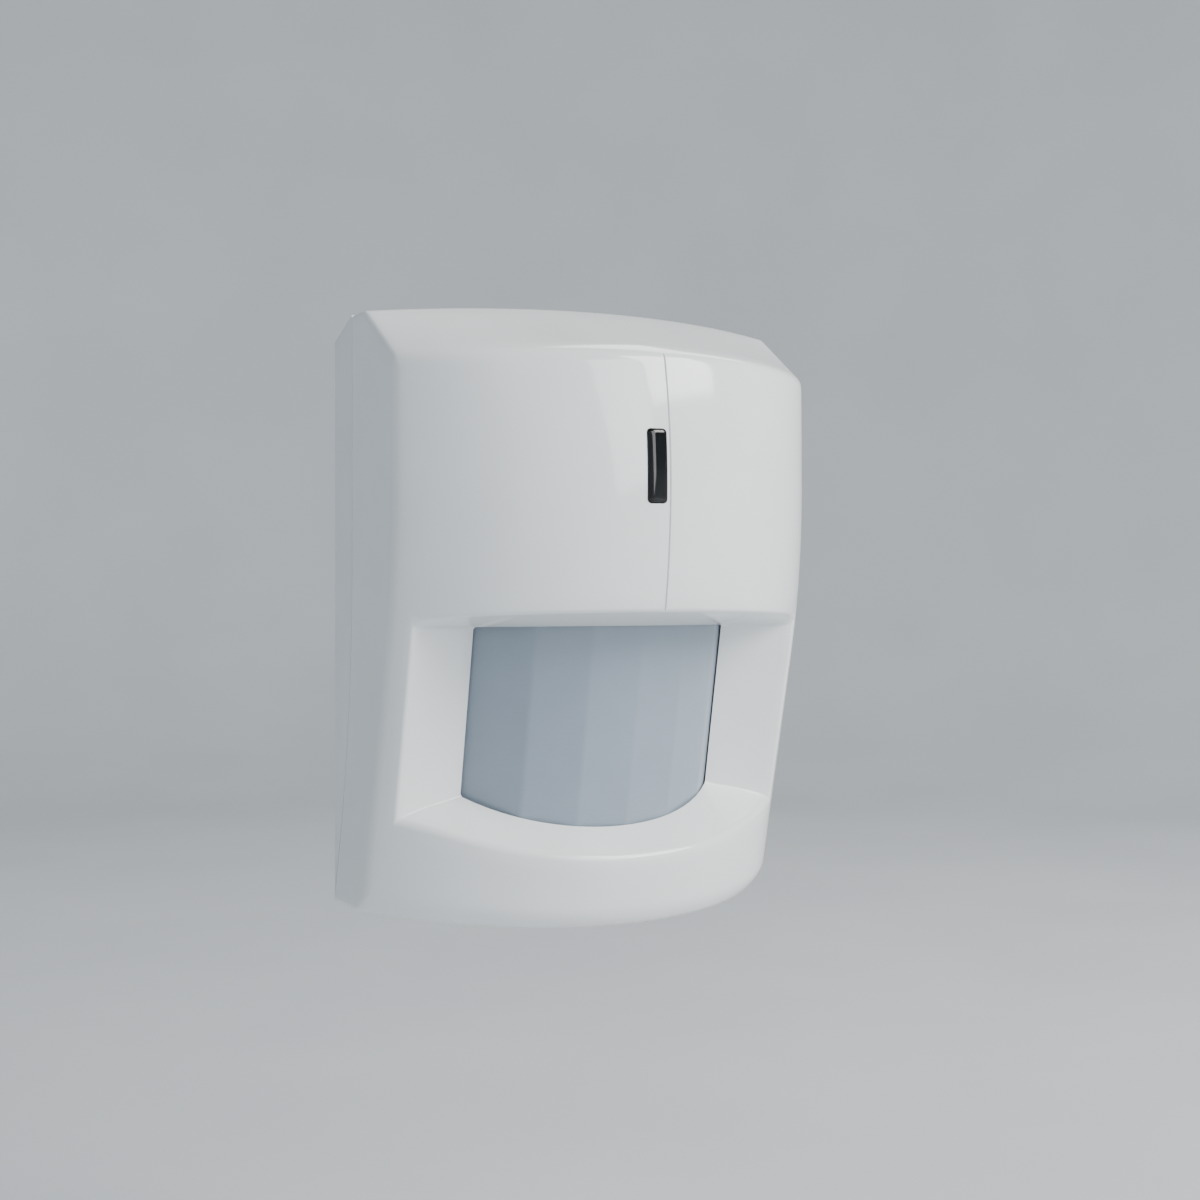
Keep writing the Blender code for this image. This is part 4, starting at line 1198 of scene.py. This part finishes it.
def foam_collar():
    """A soft ring round the can that keeps draughts and insects out."""
    outer = turned("foam_collar", [(7.0, 0.0), (7.0, 2.6), (6.6, 3.0)],
                   (0, SEAT, PYRO_Z), FORWARD, 64)
    combine(outer, rod("bore", (0, -10.0, PYRO_Z), (0, -20.0, PYRO_Z), 4.9, 64), "DIFFERENCE")
    return outer


class SENSOR_OT_heat_sensor(bpy.types.Operator):
    """Build the heat sensor's can, its dark window and its collar"""
    bl_idname = "sensor.heat_sensor"
    bl_label = "Heat sensor"

    def execute(self, context):
        settle(sensor_can(), "base", "nickel_plate", ["pyro_sensor_can"])
        window = box("heat_window", (-1.8, -17.75, PYRO_Z - 1.5), (1.8, -17.4, PYRO_Z + 1.5))
        round_edges(window, 0.08, 2)
        settle(window, "base", "silicon_window", ["pyro_window"])
        settle(foam_collar(), "base", "black_foam", ["pyro_collar"])
        return {"FINISHED"}


def coil(name, turns, wire_radius, per_turn, place):
    """A wire along a helix given by place(angle, share)."""
    count = int(turns * per_turn)
    points = [place(2 * math.pi * i / per_turn, i / count) for i in range(count + 1)]
    return wire(name, points, wire_radius)


class SENSOR_OT_power(bpy.types.Operator):
    """Build the battery, its cradle and its contacts"""
    bl_idname = "sensor.power"
    bl_label = "Battery"

    def execute(self, context):
        middle = (-17.25, BATTERY_Y, BATTERY_Z)
        r = BATTERY_RADIUS
        sleeve = turned("cell_sleeve", [(6.6, 0.0), (7.6, 0.05), (r - 0.1, 0.4), (r, 0.9),
                                        (r, 32.4), (r - 0.1, 33.0), (7.6, 33.45), (6.6, 33.5)],
                        middle, (1, 0, 0), 64)
        settle(sleeve, "base", "pvc_shrink_sleeve", ["battery"])
        ends = join(turned("cell_ends", [(6.5, -0.05), (6.5, 0.4)], middle, (1, 0, 0), 48),
                    turned("cap", [(6.5, 33.2), (6.5, 33.56), (3.4, 33.6), (3.2, 33.8),
                                   (3.2, 34.3), (3.0, 34.5)], middle, (1, 0, 0), 48))
        settle(ends, "base", "nickel_plate")
        cradle = box("cradle", (-22.0, -24.0, 28.3), (22.0, SEAT, 48.7))
        combine(cradle, box("bay", (-20.8, -30.0, 29.7), (20.8, SEAT - 0.9, 47.3)), "DIFFERENCE")
        for left in (-9.0, 7.0):
            combine(cradle, box("dip", (left, -30.0, 20.0), (left + 2.0, -21.5, 60.0)),
                    "DIFFERENCE")
        round_edges(cradle, 0.25)
        settle(cradle, "base", "black_nylon", ["battery_holder"])

        def spiral(angle, share):
            radius = 5.5 - 2.8 * share
            return (-20.0 + 2.2 * share, BATTERY_Y + radius * math.cos(angle),
                    BATTERY_Z + radius * math.sin(angle))
        spring = coil("cell_spring", 3.0, 0.38, 28, spiral)
        settle(spring, "base", "nickel_plate", ["battery_spring"], 60.0)
        plate = box("cell_contact", (17.6, BATTERY_Y - 4.5, BATTERY_Z - 5.0),
                    (18.1, BATTERY_Y + 4.5, BATTERY_Z + 5.0))
        round_edges(plate, 0.12)
        settle(plate, "base", "nickel_plate", ["battery_contact"])
        return {"FINISHED"}


def button_body(name, x, depth, well):
    """A square switch with a round well for its moving part."""
    body = on_board(name, (x, SWITCH_Z), (6.2, 6.2, depth), rounding=0.3)
    combine(body, well, "DIFFERENCE")
    return body


class SENSOR_OT_switches(bpy.types.Operator):
    """Build the tamper switch, the enrol button and the two-way switch"""
    bl_idname = "sensor.switches"
    bl_label = "Switches"

    def execute(self, context):
        well = turned("well", [(2.2, 0.0), (2.2, 2.8), (1.5, 2.8), (1.5, 6.0)],
                      (TAMPER_X, PLUNGER_BASE + GAP, SWITCH_Z), FORWARD)
        settle(button_body("tamper_body", TAMPER_X, 4.0, well), "base",
               "black_nylon", ["tamper_switch"])
        height = PLUNGER_BASE - PLUNGER_TIP
        stem = turned("tamper_stem_cap", [(1.9, 0.0), (1.9, 0.7), (1.2, 0.7), (1.2, height - 0.4),
                                          (1.1, height - 0.15), (0.8, height)],
                      (TAMPER_X, PLUNGER_BASE, SWITCH_Z), FORWARD)
        settle(stem, "tamper_stem", "moulded_abs_gloss", ["tamper_plunger"])
        well = rod("well", (ENROL_X, ENROL_BASE + 0.7, SWITCH_Z), (ENROL_X, -30.0, SWITCH_Z), 2.05)
        settle(button_body("enrol_body", ENROL_X, 3.4, well), "base",
               "black_nylon", ["enrol_switch"])
        cap = turned("enrol_cap_top", [(1.75, 0.0), (1.75, 2.05), (1.65, 2.25), (1.45, 2.4)],
                     (ENROL_X, ENROL_BASE, SWITCH_Z), FORWARD)
        settle(cap, "enrol_cap", "moulded_abs_gloss", ["enrol_button"])
        body = on_board("two_way_body", (16.0, DIP_Z), (6.6, 6.0, 3.8))
        for x in DIP_X:
            combine(body, box("bay", (x - 1.0, -20.0, DIP_Z - 2.2), (x + 1.0, -16.0, DIP_Z + 2.2)),
                    "DIFFERENCE")
        settle(body, "base", "red_nylon", ["dip_switch"])
        for number, x in enumerate(DIP_X, start=1):
            slider = box("slider_top_%d" % number, (x - 0.65, -18.0, DIP_Z - 1.85),
                         (x + 0.65, -16.3, DIP_Z - 0.35))
            round_edges(slider, 0.12)
            settle(slider, "slider_%d" % number, "moulded_abs_gloss",
                   ["dip_slider_%d" % number])
        return {"FINISHED"}


def chip_leads():
    """Tinned gull-wing leads along all four sides of the main chip."""
    leads = []
    for i in range(8):
        off = -2.8 + 0.8 * i
        for out in (-4.95, 4.95):
            for spot, size in (((out, off), (1.1, 0.35, 0.25)), ((off, out), (0.35, 1.1, 0.25))):
                leads.append(on_board("lead", (CHIP_X + spot[0], CHIP_Z + spot[1]), size,
                                      rounding=0.05))
    return join(*leads)


def shield_shape():
    """The radio's pressed metal lid, with a row of vent holes."""
    lid = box("shield", (15.5, -17.1, -23.0), (28.5, -14.9, -11.0))
    round_along_depth(lid, 1.0, 5)
    round_edges(lid, 0.25)
    for x in (18.5, 22.0, 25.5):
        for z in (-20.0, -14.0):
            combine(lid, rod("vent", (x, -20.0, z), (x, -16.8, z), 0.5, 24), "DIFFERENCE")
    return lid


class SENSOR_OT_electronics(bpy.types.Operator):
    """Build the chips, the radio, the aerial and the taller parts"""
    bl_idname = "sensor.electronics"
    bl_label = "Electronics"

    def execute(self, context):
        chip = on_board("main_chip", (CHIP_X, CHIP_Z), (9.0, 9.0, 1.2), rounding=0.15)
        combine(chip, rod("dot", (-21.3, -20.0, 13.3), (-21.3, SEAT - 1.1, 13.3), 0.5, 24),
                "DIFFERENCE")
        settle(chip, "base", "black_epoxy", ["microcontroller"])
        leads = chip_leads()
        leads.name = "main_chip_leads"
        settle(leads, "base", "tinned_copper")
        can = on_board("timing_crystal", (-9.0, 12.0), (3.4, 9.0, 3.2), rounding=0.02)
        round_along_depth(can, 1.6, 10)
        round_edges(can, 0.3)
        settle(can, "base", "nickel_plate", ["crystal"])
        settle(on_board("radio_card", (22.0, -14.0), (16.0, 22.0, 0.9), rounding=0.08), "base",
               "solder_mask", ["radio_board"])
        settle(shield_shape(), "base", "nickel_plate", ["radio_shield"])

        def helix(angle, share):
            return (-28.0 + 2.4 * math.cos(angle), -17.0 + 2.4 * math.sin(angle),
                    -19.0 + 15.0 * share)
        settle(coil("aerial_coil", 7.0, 0.38, 24, helix), "base",
               "gold_plate", ["antenna_coil"], 60.0)
        sleeve = turned("smoothing_capacitor", [
            (3.15, 0.0), (3.15, 1.5), (2.98, 1.7), (2.9, 1.9), (2.98, 2.1), (3.15, 2.3),
            (3.15, 10.6), (3.0, 10.9), (2.7, 11.0)], (-28.5, SEAT, 32.0), FORWARD, 48)
        settle(sleeve, "base", "capacitor_sleeve", ["capacitor"])
        header = on_board("header_block", (28.5, 34.0), (2.5, 10.0, 2.5), rounding=0.25)
        settle(header, "base", "black_nylon", ["pin_header"])
        pins = join(*(box("header_pins", (28.2, -20.5, z - 0.3), (28.8, SEAT, z + 0.3))
                      for z in (30.2, 32.74, 35.28, 37.8)))
        round_edges(pins, 0.1, 2)
        settle(pins, "base", "gold_plate")
        lamp = on_board("signal_lamp", (LED_X, LED_Z), (2.0, 3.2, 0.9), rounding=0.12)
        dome = turned("dome", [(0.9, 0.6), (0.9, 1.3), (0.8, 1.6), (0.55, 1.78), (0.2, 1.8)],
                      (LED_X, SEAT, LED_Z), FORWARD)
        combine(lamp, dome, "UNION")
        settle(lamp, "base", "clear_acrylic", ["status_led"])
        return {"FINISHED"}


class SENSOR_OT_closing_screw(bpy.types.Operator):
    """Build the screw that holds the cover shut"""
    bl_idname = "sensor.closing_screw"
    bl_label = "Closing screw"

    def execute(self, context):
        place = (0, SCREW_Y, -57.1)
        screw = turned("cover_screw", [(2.3, 0.0), (2.65, 0.15), (2.8, 0.5), (2.8, 1.4),
                                       (1.3, 1.4), (1.3, 10.4), (0.7, 11.4)], place, (0, 0, 1), 48)
        cross = [(x, SCREW_Y + y) for x, y in plus_outline(1.6, 0.4)]
        combine(screw, prism("cross", cross, -60.0, -56.3), "DIFFERENCE")
        ridge = thread(place, (0, 0, 1), 1.3, 3.0, 7.2, 0.9)
        settle(join(screw, ridge), "bottom_screw", "zinc_plated_steel",
               ["closing_screw"])
        return {"FINISHED"}


# ------------------------------------------------------------ stage

CAMERA_PLACE = (-0.1543, -0.3411, 0.00484)
CAMERA_TURN = math.radians(-26.84)
CAMERA_LENS, CAMERA_SHIFT = 53.96, -0.0077
FLOOR_Z, FLOOR_RADIUS = -0.18, 1.2
# Each step of the floor's edge: how far out and how far up
FLOOR_STEPS = ((0.20, 0.04), (0.15, 0.11), (0.10, 0.20), (0.05, 0.30), (0.02, 0.9))
AIR_COLOUR, AIR_STRENGTH = "#E6EEF6", 0.24
KEY_PLACE, KEY_SIZE = (0.75, -0.95, 0.85), (0.8, 0.8)
OTHER_LIGHTS = (
    # name, place, size across and down, turn in degrees, power in watts, colour
    ("window_panel", (0.185, -1.00, 0.355), (0.36, 0.60), 13.0, 3.6, "#FFFFFF"),
    ("top_panel", (0.56, 0.42, 0.92), (0.55, 0.50), 0.0, 3.6, "#FFFFFF"),
    ("cool_fill", (-1.05, -0.35, 0.20), (0.9, 0.9), 0.0, 1.0, "#A9CEF8"),
)


def area_light(name, place, size, turn, power, colour):
    """A soft panel that faces the sensor."""
    facing = Vector(place).to_track_quat("Z", "Y") @ Quaternion((0, 0, 1), math.radians(turn))
    deselect()
    bpy.ops.object.light_add(type="AREA", location=place, rotation=facing.to_euler())
    item = bpy.context.object
    item.name = name
    item.data.shape = "RECTANGLE"
    item.data.size, item.data.size_y = size
    item.data.energy = power
    item.data.color = linear(colour)[:3]


def studio_floor():
    """A floor that curves up into walls all round, below the sensor."""
    item = primitive("circle", "studio_floor", vertices=96, radius=FLOOR_RADIUS,
                     fill_type="NGON", location=(0, 0, FLOOR_Z))
    with editing(item, "EDGE") as mesh:
        choose(item, mesh.edges, lambda edge: True)
        for reach, rise in FLOOR_STEPS:
            mesh = bmesh.from_edit_mesh(item.data)
            ring = max(math.hypot(v.co.x, v.co.y) for v in mesh.verts)
            bpy.ops.mesh.extrude_edges_move(TRANSFORM_OT_translate={"value": (0, 0, rise)})
            share = (ring + reach) / ring
            bpy.ops.transform.resize(value=(share, share, 1.0), center_override=(0, 0, 0))
    with editing(item):
        bpy.ops.mesh.select_all(action="SELECT")
        bpy.ops.mesh.normals_make_consistent(inside=True)
    bpy.ops.object.transform_apply(location=True, rotation=True, scale=True)
    bpy.ops.object.shade_smooth()
    item.data.materials.append(material("studio_floor"))


def studio_world():
    world = bpy.data.worlds.new("studio_air")
    world.use_nodes = True
    bpy.context.scene.world = world
    background = world.node_tree.nodes["Background"]
    background.inputs["Color"].default_value = linear(AIR_COLOUR)
    background.inputs["Strength"].default_value = AIR_STRENGTH


def camera():
    deselect()
    bpy.ops.object.camera_add(location=CAMERA_PLACE, rotation=(math.pi / 2, 0, CAMERA_TURN))
    item = bpy.context.object
    item.name = "viewpoint"
    item.data.lens = CAMERA_LENS
    item.data.shift_y = CAMERA_SHIFT
    bpy.context.scene.camera = item


class SENSOR_OT_stage(bpy.types.Operator):
    """Set up the floor, the soft light and the camera"""
    bl_idname = "sensor.stage"
    bl_label = "Studio stage"

    def execute(self, context):
        studio_floor()
        studio_world()
        power = context.scene.sensor.key_power
        area_light("key_panel", KEY_PLACE, KEY_SIZE, 0.0, power, "#FFFDFA")
        for light in OTHER_LIGHTS:
            area_light(*light)
        camera()
        return {"FINISHED"}


# ------------------------------------------------------------ add-on

BUILDERS = (SENSOR_OT_stage, SENSOR_OT_cover, SENSOR_OT_base, SENSOR_OT_lens,
            SENSOR_OT_indicator, SENSOR_OT_board, SENSOR_OT_heat_sensor, SENSOR_OT_power,
            SENSOR_OT_switches, SENSOR_OT_electronics, SENSOR_OT_closing_screw)


class SENSOR_PT_sidebar(bpy.types.Panel):
    """The sensor's settings, and a button for each group of pieces"""
    bl_idname = "SENSOR_PT_sidebar"
    bl_label = "Motion sensor"
    bl_space_type = "VIEW_3D"
    bl_region_type = "UI"
    bl_category = "Sensor"

    def draw(self, context):
        choice = context.scene.sensor
        for name in SensorSettings.__annotations__:
            self.layout.prop(choice, name)
        for builder in BUILDERS:
            self.layout.operator(builder.bl_idname)


CLASSES = (SensorSettings, *BUILDERS, SENSOR_PT_sidebar)


def register():
    for kind in CLASSES:
        bpy.utils.register_class(kind)
    bpy.types.Scene.sensor = PointerProperty(type=SensorSettings)


def unregister():
    del bpy.types.Scene.sensor
    for kind in reversed(CLASSES):
        bpy.utils.unregister_class(kind)


def main():
    register()
    bpy.ops.sensor.stage()
    bpy.ops.sensor.cover()
    bpy.ops.sensor.base()
    bpy.ops.sensor.lens()
    bpy.ops.sensor.indicator()
    bpy.ops.sensor.board()
    bpy.ops.sensor.heat_sensor()
    bpy.ops.sensor.power()
    bpy.ops.sensor.switches()
    bpy.ops.sensor.electronics()
    bpy.ops.sensor.closing_screw()


if __name__ == "__main__":
    main()
